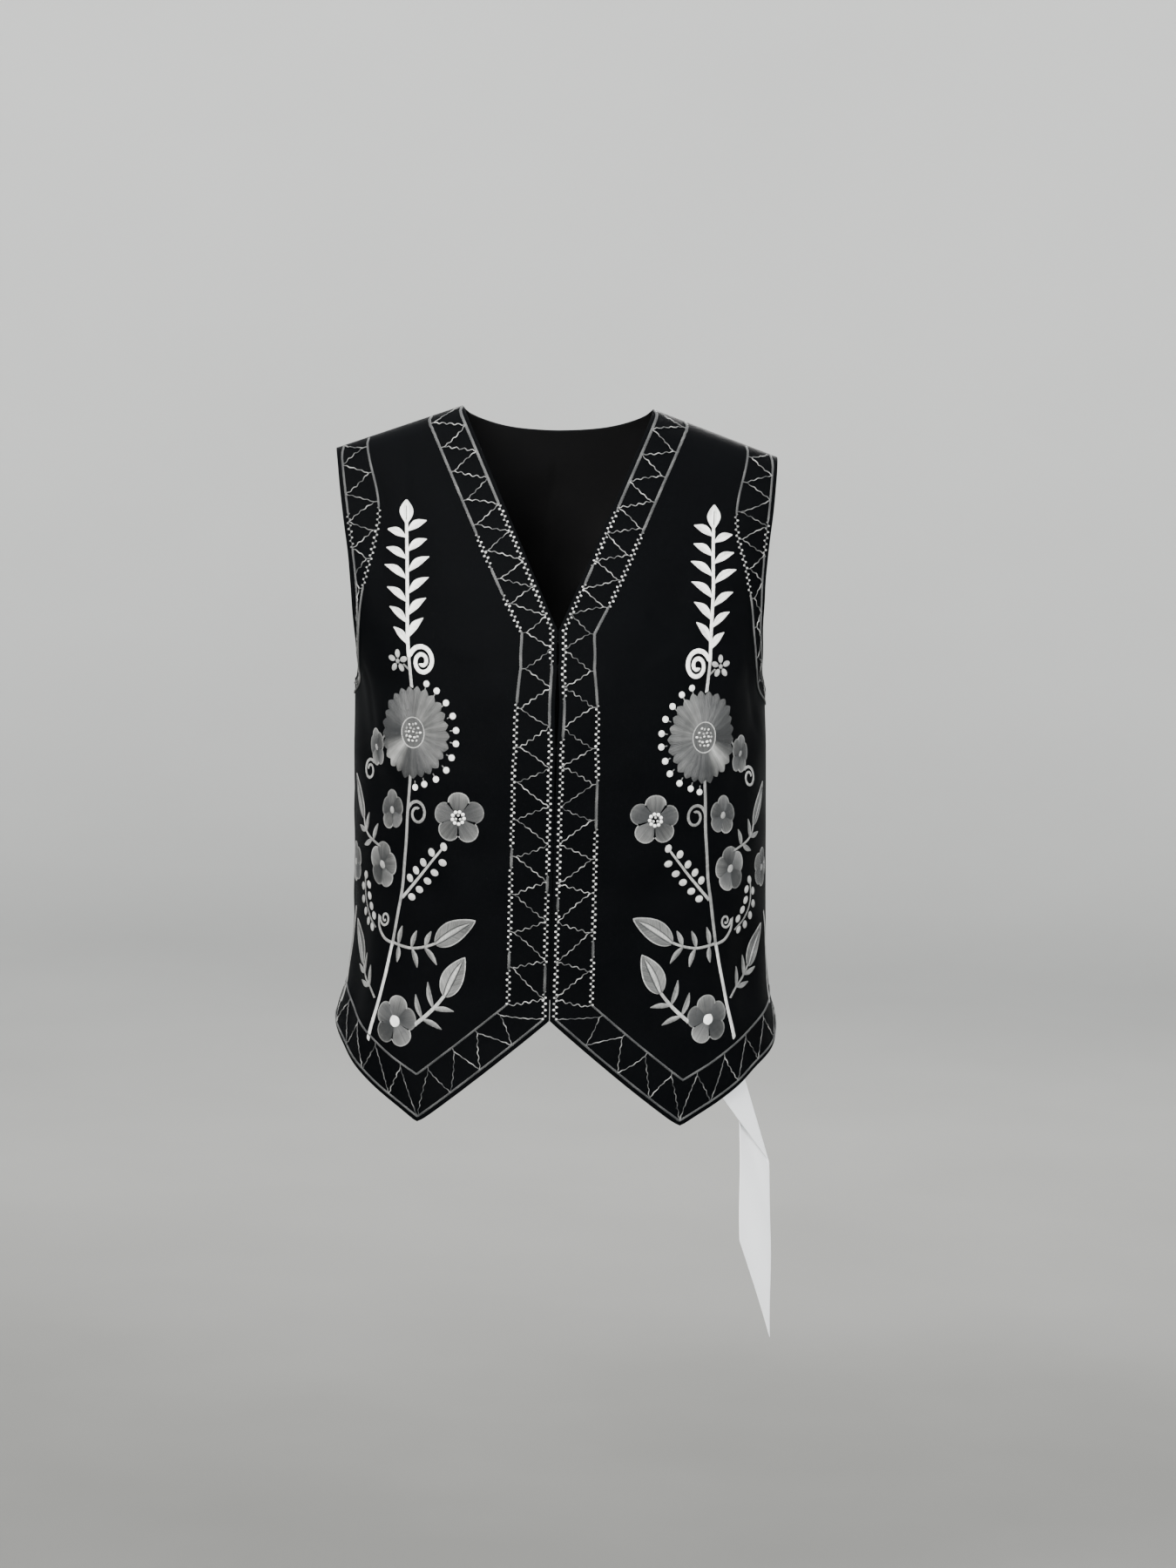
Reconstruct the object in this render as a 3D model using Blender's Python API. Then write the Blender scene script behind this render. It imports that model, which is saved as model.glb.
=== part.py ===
# V-neck waistcoat, worn: two pointed fronts, one back, six hooks and eyes, and a blank care label.
# Metres, +Z up. The origin lies between the shoulders, level with the neck ends of the shoulder seams.
# The fronts face -Y and +X is the wearer's left. A drop is a distance below the origin.

import math
from collections import namedtuple

import bpy
import numpy as np
from mathutils import Matrix, Vector

# Cloth and seams
CLOTH_THICKNESS = 0.0018
SEAM_HALF_GAP = 0.00017
FRONT_EDGE_HALF_GAP = 0.00025
CREASE_ANGLE = math.radians(40)

# Cut lines of the garment as it hangs
NECK_HALF_WIDTH = 0.078
SHOULDER_HALF_WIDTH = 0.181
SHOULDER_DROP = 0.037
V_DROP = 0.173
BACK_NECK_DROP = 0.022
UNDERARM_DROP = 0.226
SIDE_HEM_DROP = 0.507
FRONT_EDGE_END_DROP = 0.490
HEM_POINT_DROP = 0.579
HEM_POINT_ACROSS = 0.4
BACK_HEM_DROP = 0.514

# Squareness of the worn section, the back neckline's turn from the shoulders, the bow of the hem beyond its
# point, and how fast the rows above the point straighten
SECTION_ROUNDNESS = 2.35
BACK_NECK_CURVE = 0.6
HEM_CURVE = 0.86
HEM_POINT_FADE = 1.5

# Columns across a half panel, and rows below and above the underarm
FRONT_COLUMNS = 20
BACK_HALF_COLUMNS = 18
BACK_NECK_COLUMNS = 8
LOWER_ROWS = 14
UPPER_ROWS = 13
ROW_CROWDING = {"underarm": 1.5, "shoulder": 1.8}
HALF_GIRTH = 0.236

# Hooks and eyes along the front edges: one at the V point, one close below it, then evenly spaced
TOP_HOOK_DROP = 0.180
SECOND_HOOK_DROP = 0.2015
HOOK_SPACING = 0.0665
EVEN_HOOKS = 5
HOOK_HALF_HEIGHT = 0.0065
WIRE_RADIUS = 0.00042
SEAT_GAP = 0.00042
WIRE_CLEARANCE = 0.0003
SEWING_LOOP_RADIUS = 0.0019
HOOK_REACH = 0.0078
HOOK_BILL_REACH = 0.0030
EYE_LOOP_REACH = 0.0062
EYE_LEG_REACH = 0.0038
EYE_LEG_RISE = 0.0003
EYE_RISE_END = 0.0026
EYE_HALF_HEIGHT = 0.0021
EYE_NOSE_RADIUS = 0.0014

# Front edges stand apart a little between the first hooks
FRONT_EDGE_PARTING = (
    {"start": 0.178, "end": 0.203, "half_gap": 0.0009},
    {"start": 0.200, "end": 0.269, "half_gap": 0.0015},
    {"start": 0.267, "end": 0.310, "half_gap": 0.0005},
)

# Care label: a satin strip that leaves the hem at a slant and is folded back to hang straight down
LABEL_THICKNESS = 0.0010
LABEL_ROWS = {"upper": 7, "bend": 7, "lower": 14}
LABEL_COLUMNS = 3
LABEL_FOLD_TOP = (0.1586, -0.0668, -0.5290)
LABEL_TURN = math.radians(45)
LABEL_WIDTH = 0.034
LABEL_UPPER_SLANT = math.radians(45)
LABEL_FOLD_SLANT = math.radians(24.5)
LABEL_SHORT_EDGE = 0.008
LABEL_LOWER_LENGTH = 0.145
LABEL_FOLD_RADIUS = 0.0014
LABEL_FOLD_TURN = math.radians(176)

# Sway is how far a section's middle hangs towards +X
Section = namedtuple("Section", "drop half_width sway front_depth back_depth")
SECTIONS = (
    Section(0.000, 0.262, 0.0000, 0.122, 0.105),
    Section(0.040, 0.248, 0.0000, 0.122, 0.105),
    Section(0.075, 0.229, 0.0005, 0.122, 0.105),
    Section(0.110, 0.208, 0.0015, 0.122, 0.105),
    Section(0.145, 0.191, 0.0025, 0.122, 0.105),
    Section(0.175, 0.181, 0.0036, 0.122, 0.105),
    Section(0.205, 0.1725, 0.0053, 0.122, 0.105),
    Section(0.226, 0.1690, 0.0065, 0.122, 0.105),
    Section(0.280, 0.1700, 0.0081, 0.122, 0.103),
    Section(0.360, 0.1702, 0.0100, 0.118, 0.099),
    Section(0.430, 0.1710, 0.0110, 0.115, 0.102),
    Section(0.475, 0.1753, 0.0108, 0.113, 0.108),
    Section(0.510, 0.1835, 0.0095, 0.113, 0.113),
    Section(0.590, 0.1890, 0.0095, 0.114, 0.116),
)

ShoulderRow = namedtuple("ShoulderRow", "below front_share back_share")
SHOULDER_PROFILE = (
    ShoulderRow(0.000, 0.000, 0.000),
    ShoulderRow(0.004, 0.113, 0.131),
    ShoulderRow(0.012, 0.190, 0.228),
    ShoulderRow(0.030, 0.285, 0.385),
    ShoulderRow(0.060, 0.400, 0.600),
    ShoulderRow(0.100, 0.560, 0.810),
    ShoulderRow(0.150, 0.760, 0.950),
    ShoulderRow(0.200, 0.915, 1.000),
    ShoulderRow(0.250, 0.990, 1.000),
    ShoulderRow(0.300, 1.000, 1.000),
    ShoulderRow(0.700, 1.000, 1.000),
)

ArmholeRow = namedtuple("ArmholeRow", "drop front_reach back_reach")
ARMHOLE = (
    ArmholeRow(0.037, 0.1810, 0.1810),
    ArmholeRow(0.075, 0.1768, 0.1780),
    ArmholeRow(0.110, 0.1722, 0.1745),
    ArmholeRow(0.145, 0.1685, 0.1715),
    ArmholeRow(0.175, 0.1668, 0.1697),
    ArmholeRow(0.205, 0.1670, 0.1686),
    ArmholeRow(0.226, 0.1690, 0.1690),
)

# Largest folds. Across runs from 0 at the centre to 1 at the side seam; a negative height is a trough.
Fold = namedtuple("Fold", "panel across_0 drop_0 across_1 drop_1 half_width height")
FOLDS = (
    Fold("front_right", 0.90, 0.205, 0.62, 0.330, 0.017, -0.0030),
    Fold("front_right", 0.74, 0.190, 0.50, 0.262, 0.014, 0.0018),
    Fold("front_right", 0.45, 0.150, 0.74, 0.120, 0.013, 0.0015),
    Fold("front_right", 0.30, 0.390, 0.66, 0.372, 0.016, -0.0016),
    Fold("front_right", 0.72, 0.400, 0.80, 0.560, 0.020, -0.0034),
    Fold("front_right", 0.52, 0.420, 0.58, 0.570, 0.018, 0.0020),
    Fold("front_left", 0.90, 0.210, 0.60, 0.340, 0.018, -0.0028),
    Fold("front_left", 0.66, 0.060, 0.62, 0.170, 0.013, -0.0017),
    Fold("front_left", 0.42, 0.070, 0.40, 0.150, 0.012, 0.0014),
    Fold("front_left", 0.36, 0.380, 0.70, 0.400, 0.018, -0.0018),
    Fold("front_left", 0.74, 0.390, 0.82, 0.550, 0.019, -0.0032),
    Fold("front_left", 0.50, 0.430, 0.56, 0.560, 0.018, 0.0022),
    Fold("back", 0.88, 0.215, 0.50, 0.330, 0.020, -0.0034),
    Fold("back", -0.88, 0.212, -0.46, 0.345, 0.020, -0.0036),
    Fold("back", -0.30, 0.360, 0.34, 0.372, 0.020, -0.0030),
    Fold("back", -0.42, 0.400, 0.24, 0.416, 0.018, 0.0022),
    Fold("back", 0.56, 0.410, 0.62, 0.520, 0.022, -0.0036),
    Fold("back", -0.60, 0.400, -0.66, 0.520, 0.022, -0.0034),
    Fold("back", 0.10, 0.430, 0.12, 0.520, 0.024, 0.0024),
    Fold("back", 0.30, 0.070, 0.36, 0.170, 0.018, -0.0018),
    Fold("back", -0.34, 0.070, -0.30, 0.180, 0.018, -0.0018),
)
FOLD_EDGE_FADE = 0.022
FOLD_END_REACH = 0.12
FOLD_END_FADE = 0.34

COLOURS = {
    "embroidered_cloth": {"colour": (0.012, 0.016, 0.022, 1.0), "roughness": 0.55, "metallic": 0.0},
    "hook_metal": {"colour": (0.02, 0.02, 0.02, 1.0), "roughness": 0.35, "metallic": 0.9},
    "white_satin": {"colour": (0.85, 0.86, 0.87, 1.0), "roughness": 0.4, "metallic": 0.0},
}


def clear_scene():
    for old in list(bpy.data.objects):
        bpy.data.objects.remove(old, do_unlink=True)


def make_materials():
    made = {}
    for name, look in COLOURS.items():
        material = bpy.data.materials.new(name)
        material.use_nodes = True
        shader = material.node_tree.nodes["Principled BSDF"]
        shader.inputs["Base Color"].default_value = look["colour"]
        shader.inputs["Roughness"].default_value = look["roughness"]
        shader.inputs["Metallic"].default_value = look["metallic"]
        material.diffuse_color = look["colour"]
        made[name] = material
    return made


def smooth_through(places, values, at):
    """A monotone cubic through a table's column."""
    places = np.asarray(places, float)
    values = np.asarray(values, float)
    step = np.diff(places)
    slope = np.diff(values) / step
    tangent = np.zeros(len(places))
    tangent[0] = slope[0]
    tangent[-1] = slope[-1]
    same_way = slope[:-1] * slope[1:] > 0
    mean = 2 * slope[:-1] * slope[1:] / np.where(same_way, slope[:-1] + slope[1:], 1.0)
    tangent[1:-1] = np.where(same_way, mean, 0.0)
    at = np.clip(np.asarray(at, float), places[0], places[-1])
    left = np.clip(np.searchsorted(places, at, side="right") - 1, 0, len(step) - 1)
    part = (at - places[left]) / step[left]
    rise = part * part * (3 - 2 * part)
    return (
        values[left] * (1 - rise)
        + values[left + 1] * rise
        + step[left] * tangent[left] * part * (1 - part) ** 2
        - step[left] * tangent[left + 1] * part * part * (1 - part)
    )


def smooth_step(value):
    value = np.clip(value, 0.0, 1.0)
    return value * value * (3 - 2 * value)


def column(table, name):
    return [getattr(row, name) for row in table]


def section_column(name, drop):
    return smooth_through(column(SECTIONS, "drop"), column(SECTIONS, name), drop)


def half_width(drop, side):
    """Half width of the worn section on one side, with the sideways hang in it."""
    return section_column("half_width", drop) + side * section_column("sway", drop)


def shoulder_line(reach):
    """Drop of the shoulder seam's line at this distance from the centre, levelling out inside the neck."""
    slope = SHOULDER_DROP / (SHOULDER_HALF_WIDTH - NECK_HALF_WIDTH)
    inside_neck = (np.minimum(reach, NECK_HALF_WIDTH) ** 2 / NECK_HALF_WIDTH - NECK_HALF_WIDTH) / 2
    return slope * (inside_neck + np.maximum(reach - NECK_HALF_WIDTH, 0.0))


def shoulder_share(name, below):
    """Share of the full depth reached this far below the shoulder line, round over the top."""
    roots = np.sqrt(column(SHOULDER_PROFILE, "below"))
    return smooth_through(roots, column(SHOULDER_PROFILE, name), np.sqrt(np.maximum(below, 0.0)))


def depth_at(face, reach, drop, side):
    """How far the front or back stands from the side seams' plane."""
    width = half_width(drop, side)
    share = np.clip(reach / width, 0.0, 1.0)
    across = (1 - share**SECTION_ROUNDNESS) ** (1 / SECTION_ROUNDNESS)
    below = drop - shoulder_line(reach)
    return section_column(face + "_depth", drop) * shoulder_share(face + "_share", below) * across


def armhole_reach(face, drop, side):
    reach = smooth_through(column(ARMHOLE, "drop"), column(ARMHOLE, face + "_reach"), drop)
    return reach + side * section_column("sway", drop)


def front_edge_half_gap(drop):
    gap = np.full(np.shape(drop), FRONT_EDGE_HALF_GAP)
    for part in FRONT_EDGE_PARTING:
        along = (drop - part["start"]) / (part["end"] - part["start"])
        inside = (along > 0) & (along < 1)
        gap = np.where(inside, gap + part["half_gap"] * np.sin(math.pi * np.clip(along, 0, 1)), gap)
    return gap


def row_levels():
    """Rows from the hem up: how far up the lower part, and how far below the shoulder."""
    lower = [(i / LOWER_ROWS, 1.0) for i in range(LOWER_ROWS)]
    climbs = [(i / UPPER_ROWS) ** ROW_CROWDING["underarm"] for i in range(UPPER_ROWS + 1)]
    upper = [(1.0, (1 - climb) ** ROW_CROWDING["shoulder"]) for climb in climbs]
    return lower + upper


def front_hem_drop(across):
    rise = np.sin(across * math.pi / 2) / math.sin(HEM_POINT_ACROSS * math.pi / 2)
    inner = FRONT_EDGE_END_DROP + (HEM_POINT_DROP - FRONT_EDGE_END_DROP) * rise
    beyond = np.maximum(across - HEM_POINT_ACROSS, 0) / (1 - HEM_POINT_ACROSS)
    outer = HEM_POINT_DROP + (SIDE_HEM_DROP - HEM_POINT_DROP) * beyond**HEM_CURVE
    return np.where(across <= HEM_POINT_ACROSS, inner, outer)


def front_grid(side):
    """Reach, drop and depth of a front's outer face, row by row from the hem."""
    across = np.linspace(0, 1, FRONT_COLUMNS + 1)
    around = np.sin(across * math.pi / 2)
    rows = []
    for up, below in row_levels():
        if below == 1.0:
            straight_hem = FRONT_EDGE_END_DROP + (SIDE_HEM_DROP - FRONT_EDGE_END_DROP) * around
            inner = FRONT_EDGE_END_DROP + (V_DROP - FRONT_EDGE_END_DROP) * up
            outer = SIDE_HEM_DROP + (UNDERARM_DROP - SIDE_HEM_DROP) * up
            point = (front_hem_drop(across) - straight_hem) * (1 - up) ** HEM_POINT_FADE
            drop = inner + (outer - inner) * around + point
            narrow = half_width(outer + point, -1)
            reach = narrow * around + (half_width(outer + point, side) - narrow) * around**3
        else:
            outer = SHOULDER_DROP + (UNDERARM_DROP - SHOULDER_DROP) * below
            inner = V_DROP * below
            inner_reach = NECK_HALF_WIDTH * (1 - below)
            outer_reach = armhole_reach("front", outer, side)
            blend = smooth_step(1 - below)
            spread = around * (1 - blend) + across * blend
            drop = inner + (outer - inner) * spread
            reach = inner_reach + (outer_reach - inner_reach) * spread
        rows.append((reach, drop))
    reach = np.array([row[0] for row in rows])
    drop = np.array([row[1] for row in rows])
    reach[:, 0] = np.maximum(reach[:, 0], front_edge_half_gap(drop[:, 0]))
    depth = depth_at("front", reach, drop, side)
    depth[: LOWER_ROWS + 1, -1] = 0.0
    depth[-1] = 0.0
    return across, reach, drop, depth


def back_grid():
    """Reach, drop and depth of the back's outer face, from its -X side seam to the other."""
    across = np.linspace(-1, 1, 2 * BACK_HALF_COLUMNS + 1)
    out = np.abs(across)
    around = np.sin(out * math.pi / 2)
    neck_share = NECK_HALF_WIDTH / SHOULDER_HALF_WIDTH
    neck_column = BACK_NECK_COLUMNS / BACK_HALF_COLUMNS
    top_spread = np.interp(out, [0, neck_column, 1], [0, neck_share, 1])
    top_reach = top_spread * SHOULDER_HALF_WIDTH
    in_neck = np.clip(1 - (top_reach / NECK_HALF_WIDTH) ** 2, 0, 1)
    top_drop = np.where(
        top_reach < NECK_HALF_WIDTH, BACK_NECK_DROP * in_neck**BACK_NECK_CURVE, shoulder_line(top_reach)
    )
    hem_drop = BACK_HEM_DROP + (SIDE_HEM_DROP - BACK_HEM_DROP) * out**2
    side = np.sign(across)
    rows = []
    for up, below in row_levels():
        if below == 1.0:
            drop = hem_drop + (UNDERARM_DROP - hem_drop) * up
            reach = half_width(drop[-1] + 0 * drop, side) * around
        else:
            drop = top_drop + (UNDERARM_DROP - top_drop) * below
            blend = smooth_step(1 - below)
            spread = around * (1 - blend) + top_spread * blend
            reach = armhole_reach("back", drop[-1], side) * spread
        rows.append((reach, drop))
    reach = np.array([row[0] for row in rows])
    drop = np.array([row[1] for row in rows])
    depth = depth_at("back", reach, drop, side)
    depth[: LOWER_ROWS + 1, [0, -1]] = 0.0
    shoulder = out >= neck_column
    depth[-1, shoulder] = 0.0
    return across, side * reach, drop, depth


def fold_heights(panel, across, drop):
    """Height of the cloth above its plain form, from the table of folds."""
    height = np.zeros(drop.shape)
    place = across * HALF_GIRTH
    for fold in FOLDS:
        if fold.panel != panel:
            continue
        start = np.array([fold.across_0 * HALF_GIRTH, fold.drop_0])
        run = np.array([fold.across_1 * HALF_GIRTH, fold.drop_1]) - start
        length = np.linalg.norm(run)
        along = ((place - start[0]) * run[0] + (drop - start[1]) * run[1]) / length**2
        off = ((place - start[0]) * run[1] - (drop - start[1]) * run[0]) / length
        fade = smooth_step((along + FOLD_END_REACH) / FOLD_END_FADE)
        fade *= smooth_step((1 + FOLD_END_REACH - along) / FOLD_END_FADE)
        height += fold.height * np.exp(-((off / fold.half_width) ** 2)) * fade
    return height


def edge_fade(across, drop):
    """One inside a panel and nought at its seams, so that neighbours meet."""
    from_side = (1 - np.abs(across)) * HALF_GIRTH
    from_shoulder = drop - drop[-1]
    return smooth_step(from_side / FOLD_EDGE_FADE) * smooth_step(from_shoulder / FOLD_EDGE_FADE)


def outward_normals(points):
    along = np.gradient(points, axis=1)
    upward = np.gradient(points, axis=0)
    normal = np.cross(along, upward)
    return normal / np.linalg.norm(normal, axis=2, keepdims=True)


def flatten_seam_normals(normal, seam_points):
    """Normals at a seam have no forward lean, so both walls meet face to face."""
    normal[seam_points] *= np.array([1.0, 0.0, 1.0])
    length = np.linalg.norm(normal, axis=2, keepdims=True)
    return normal / length


def front_panel(name, side):
    """Outer points, normals and the seam mask of one front."""
    across, reach, drop, depth = front_grid(side)
    points = np.stack([side * reach, -depth - SEAM_HALF_GAP, -drop], axis=2)
    if side < 0:
        points = points[:, ::-1]
    normal = outward_normals(points)
    seams = np.zeros(points.shape[:2], bool)
    seams[: LOWER_ROWS + 1, -1 if side > 0 else 0] = True
    seams[-1] = True
    normal = flatten_seam_normals(normal, seams)
    grid_across = np.broadcast_to(across if side > 0 else across[::-1], points.shape[:2])
    grid_drop = -points[:, :, 2]
    height = fold_heights(name, grid_across, grid_drop) * edge_fade(grid_across, grid_drop)
    height *= smooth_step(grid_across * HALF_GIRTH / FOLD_EDGE_FADE)
    return points + normal * height[:, :, None], normal


def back_panel(name):
    across, x, drop, depth = back_grid()
    points = np.stack([x, depth + SEAM_HALF_GAP, -drop], axis=2)[:, ::-1]
    normal = outward_normals(points)
    seams = np.zeros(points.shape[:2], bool)
    seams[: LOWER_ROWS + 1, [0, -1]] = True
    seams[-1] = (np.abs(across) >= BACK_NECK_COLUMNS / BACK_HALF_COLUMNS)[::-1]
    normal = flatten_seam_normals(normal, seams)
    grid_across = np.broadcast_to(across[::-1], points.shape[:2])
    grid_drop = -points[:, :, 2]
    height = fold_heights(name, grid_across, grid_drop) * edge_fade(grid_across, grid_drop)
    return points + normal * height[:, :, None], normal


def object_from(name, mesh, material, collection):
    made = bpy.data.objects.new(name, mesh)
    made.data.materials.clear()
    made.data.materials.append(material)
    collection.objects.link(made)
    return made


def wall_from_rows(name, outer, inner, material, collection):
    """A cloth wall lofted through rows, each a closed ring: out along one face and back on the other."""
    rings = np.concatenate([outer, inner[:, ::-1]], axis=1)
    rows, ring = rings.shape[:2]
    width = outer.shape[1]
    mesh = bpy.data.meshes.new(name)
    faces = []
    for row in range(rows - 1):
        for k in range(ring):
            a = row * ring + k
            b = row * ring + (k + 1) % ring
            faces.append((a, b, b + ring, a + ring))
    for row in (0, rows - 1):
        for k in range(width - 1):
            a = row * ring + k
            b = row * ring + k + 1
            c = row * ring + ring - 2 - k
            d = row * ring + ring - 1 - k
            faces.append((d, c, b, a) if row == 0 else (a, b, c, d))
    mesh.from_pydata([tuple(map(float, point)) for point in rings.reshape(-1, 3)], [], faces)
    mesh.validate()
    mesh.shade_smooth()
    mesh.set_sharp_from_angle(angle=CREASE_ANGLE)
    return object_from(name, mesh, material, collection)


def make_panel(name, points, normal, material, collection):
    return wall_from_rows(name, points, points - normal * CLOTH_THICKNESS, material, collection)


def front_edge_frame(edge, drop):
    """Place and directions on a chord of the front edges' inner face: across, downwards, inwards."""
    rows = edge[np.argsort(-edge[:, 2])]

    def on_edge(at):
        return Vector((0, np.interp(at, -rows[:, 2], rows[:, 1]), -at))

    above = on_edge(drop - HOOK_HALF_HEIGHT)
    beneath = on_edge(drop + HOOK_HALF_HEIGHT)
    across = Vector((1, 0, 0))
    down = (beneath - above).normalized()
    inward = across.cross(down)
    return Matrix((across, down, inward)).transposed(), (above + beneath) / 2


def wire(name, points, frame, material, collection):
    """A bent wire through points given as across, down and inwards."""
    axes, place = frame
    curve = bpy.data.curves.new(name, "CURVE")
    curve.dimensions = "3D"
    curve.bevel_depth = WIRE_RADIUS
    curve.bevel_resolution = 1
    curve.use_fill_caps = True
    spline = curve.splines.new("POLY")
    spline.points.add(len(points) - 1)
    for k, point in enumerate(points):
        spline.points[k].co = (*(place + axes @ Vector(point)), 1.0)
    return object_from(name, curve, material, collection)


def arc(centre, radius, start, end, steps, at):
    """Points of an arc in the across and down plane."""
    return [
        (
            centre[0] + radius * math.cos(math.radians(start + (end - start) * k / steps)),
            centre[1] + radius * math.sin(math.radians(start + (end - start) * k / steps)),
            at,
        )
        for k in range(steps + 1)
    ]


def hook_points():
    """Sewing loop, shank, bill turned back inwards round the eye, and the same way back."""
    low = SEAT_GAP + WIRE_RADIUS
    turn = 2 * WIRE_RADIUS + WIRE_CLEARANCE
    half = WIRE_RADIUS + WIRE_CLEARANCE / 2
    loop_x = -HOOK_REACH
    side = SEWING_LOOP_RADIUS + half
    path = arc((loop_x, side), SEWING_LOOP_RADIUS, 60, 270, 6, low)
    path.append((0.0, half, low))
    bend = [
        (turn * math.sin(math.radians(a)), half, low + turn - turn * math.cos(math.radians(a)))
        for a in (45, 90, 135, 180)
    ]
    path += bend
    path.append((-HOOK_BILL_REACH, half, low + 2 * turn))
    path.append((-HOOK_BILL_REACH - half, 0.0, low + 2 * turn))
    mirrored = [(x, -y, z) for x, y, z in reversed(path[:-1])]
    return path + mirrored


def eye_points():
    """Sewing loop, leg, nose across the front edges, and the same way back."""
    low = SEAT_GAP + WIRE_RADIUS
    level = low + 2 * WIRE_RADIUS + WIRE_CLEARANCE
    side = EYE_HALF_HEIGHT + SEWING_LOOP_RADIUS
    nose = (EYE_NOSE_RADIUS, EYE_HALF_HEIGHT - EYE_NOSE_RADIUS)
    path = arc((EYE_LOOP_REACH, side), SEWING_LOOP_RADIUS, 120, -90, 6, low)
    path.append((EYE_LEG_REACH, EYE_HALF_HEIGHT, low + EYE_LEG_RISE))
    path.append((EYE_RISE_END, EYE_HALF_HEIGHT, level))
    path += arc(nose, EYE_NOSE_RADIUS, 90, 180, 3, level)
    mirrored = [(x, -y, z) for x, y, z in reversed(path)]
    return path + mirrored


def hook_drops():
    return [TOP_HOOK_DROP] + [SECOND_HOOK_DROP + k * HOOK_SPACING for k in range(EVEN_HOOKS)]


def make_hooks(edge, material, collection):
    for number, drop in enumerate(hook_drops(), 1):
        frame = front_edge_frame(edge, drop)
        wire(f"hook_{number}", hook_points(), frame, material, collection)
        wire(f"eye_{number}", eye_points(), frame, material, collection)


def label_point(along, sideways):
    """A point of the strip, folded back round a slanted line; along is nought on that line."""
    angle = min(max(along / LABEL_FOLD_RADIUS, 0.0), LABEL_FOLD_TURN)
    before = min(along, 0.0)
    after = max(along - LABEL_FOLD_RADIUS * LABEL_FOLD_TURN, 0.0)
    ahead = before + LABEL_FOLD_RADIUS * math.sin(angle) + after * math.cos(angle)
    inwards = LABEL_FOLD_RADIUS * (1 - math.cos(angle)) + after * math.sin(angle)
    return ahead, sideways, inwards


def label_rows(slant):
    """Distances from the fold for each row and column: a square sewn end, then rows parallel to the fold."""
    share = np.linspace(0, 1, LABEL_COLUMNS + 1)
    row_length = LABEL_WIDTH / math.sin(slant)
    back = (LABEL_SHORT_EDGE + row_length * math.cos(slant) * share) * math.sin(slant)
    bend = LABEL_FOLD_RADIUS * LABEL_FOLD_TURN
    tail = LABEL_LOWER_LENGTH * math.sin(slant)
    upper = [-back * (1 - k / LABEL_ROWS["upper"]) for k in range(LABEL_ROWS["upper"] + 1)]
    turned = np.linspace(0, bend, LABEL_ROWS["bend"] + 1)[1:]
    lower = np.linspace(bend, bend + tail, LABEL_ROWS["lower"] + 1)[1:]
    level = np.concatenate([turned, lower])[:, None] + 0 * share
    return np.concatenate([upper, level]), row_length * share


def make_label(material, collection):
    across = Vector((math.cos(LABEL_TURN), math.sin(LABEL_TURN), 0))
    down = Vector((0, 0, -1))
    inward = Vector((-math.sin(LABEL_TURN), math.cos(LABEL_TURN), 0))
    fold = across * math.sin(LABEL_FOLD_SLANT) + down * math.cos(LABEL_FOLD_SLANT)
    ahead = across * math.cos(LABEL_FOLD_SLANT) - down * math.sin(LABEL_FOLD_SLANT)
    slant = LABEL_UPPER_SLANT - LABEL_FOLD_SLANT
    distances, starts = label_rows(slant)
    face = np.zeros((*distances.shape, 3))
    for row, column in np.ndindex(distances.shape):
        along = distances[row, column]
        a, s, n = label_point(along, starts[column] + along / math.tan(slant))
        face[row, column] = Vector(LABEL_FOLD_TOP) + ahead * a + fold * s + inward * n
    normal = outward_normals(face)
    wall_from_rows("care_label", face, face - normal * LABEL_THICKNESS, material, collection)


def main():
    clear_scene()
    waistcoat = bpy.data.collections.new("v_neck_waistcoat")
    bpy.context.scene.collection.children.link(waistcoat)
    materials = make_materials()
    cloth = materials["embroidered_cloth"]
    for name, side in (("front_left", -1), ("front_right", 1)):
        points, normal = front_panel(name, side)
        make_panel(name, points, normal, cloth, waistcoat)
    make_panel("back", *back_panel("back"), cloth, waistcoat)
    front_edge = (points - normal * CLOTH_THICKNESS)[: LOWER_ROWS + 1, 0]
    make_hooks(front_edge, materials["hook_metal"], waistcoat)
    make_label(materials["white_satin"], waistcoat)


main()
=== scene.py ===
# Embroidered V-neck waistcoat: cloth, stitched borders, satin embroidery, hooks and a care label.
# Metres, +Z up. On the cloth a place is (s, d): s runs along the cloth from the centre line, d is the drop.

import math
from collections import namedtuple

import bpy
import numpy as np
from mathutils import Matrix, Vector


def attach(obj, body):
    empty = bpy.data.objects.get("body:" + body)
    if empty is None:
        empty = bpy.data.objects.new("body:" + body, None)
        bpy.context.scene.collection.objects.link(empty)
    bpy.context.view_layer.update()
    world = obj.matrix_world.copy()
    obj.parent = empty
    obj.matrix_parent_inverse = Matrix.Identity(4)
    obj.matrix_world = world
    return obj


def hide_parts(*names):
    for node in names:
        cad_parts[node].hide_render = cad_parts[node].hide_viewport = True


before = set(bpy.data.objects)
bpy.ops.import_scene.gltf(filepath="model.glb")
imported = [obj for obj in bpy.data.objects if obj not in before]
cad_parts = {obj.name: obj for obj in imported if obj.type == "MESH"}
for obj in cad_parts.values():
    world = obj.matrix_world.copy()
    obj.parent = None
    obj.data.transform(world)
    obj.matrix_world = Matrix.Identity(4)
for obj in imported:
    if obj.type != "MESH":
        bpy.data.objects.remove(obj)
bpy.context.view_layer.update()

view = {
    "distance": 4.2,
    "yaw": 2.59,
    "elevation": 7.94,
    "roll": 1.38,
    "target": (0.0318, 0.0, -0.3112),
    "lens": 116.47,
}


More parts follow.
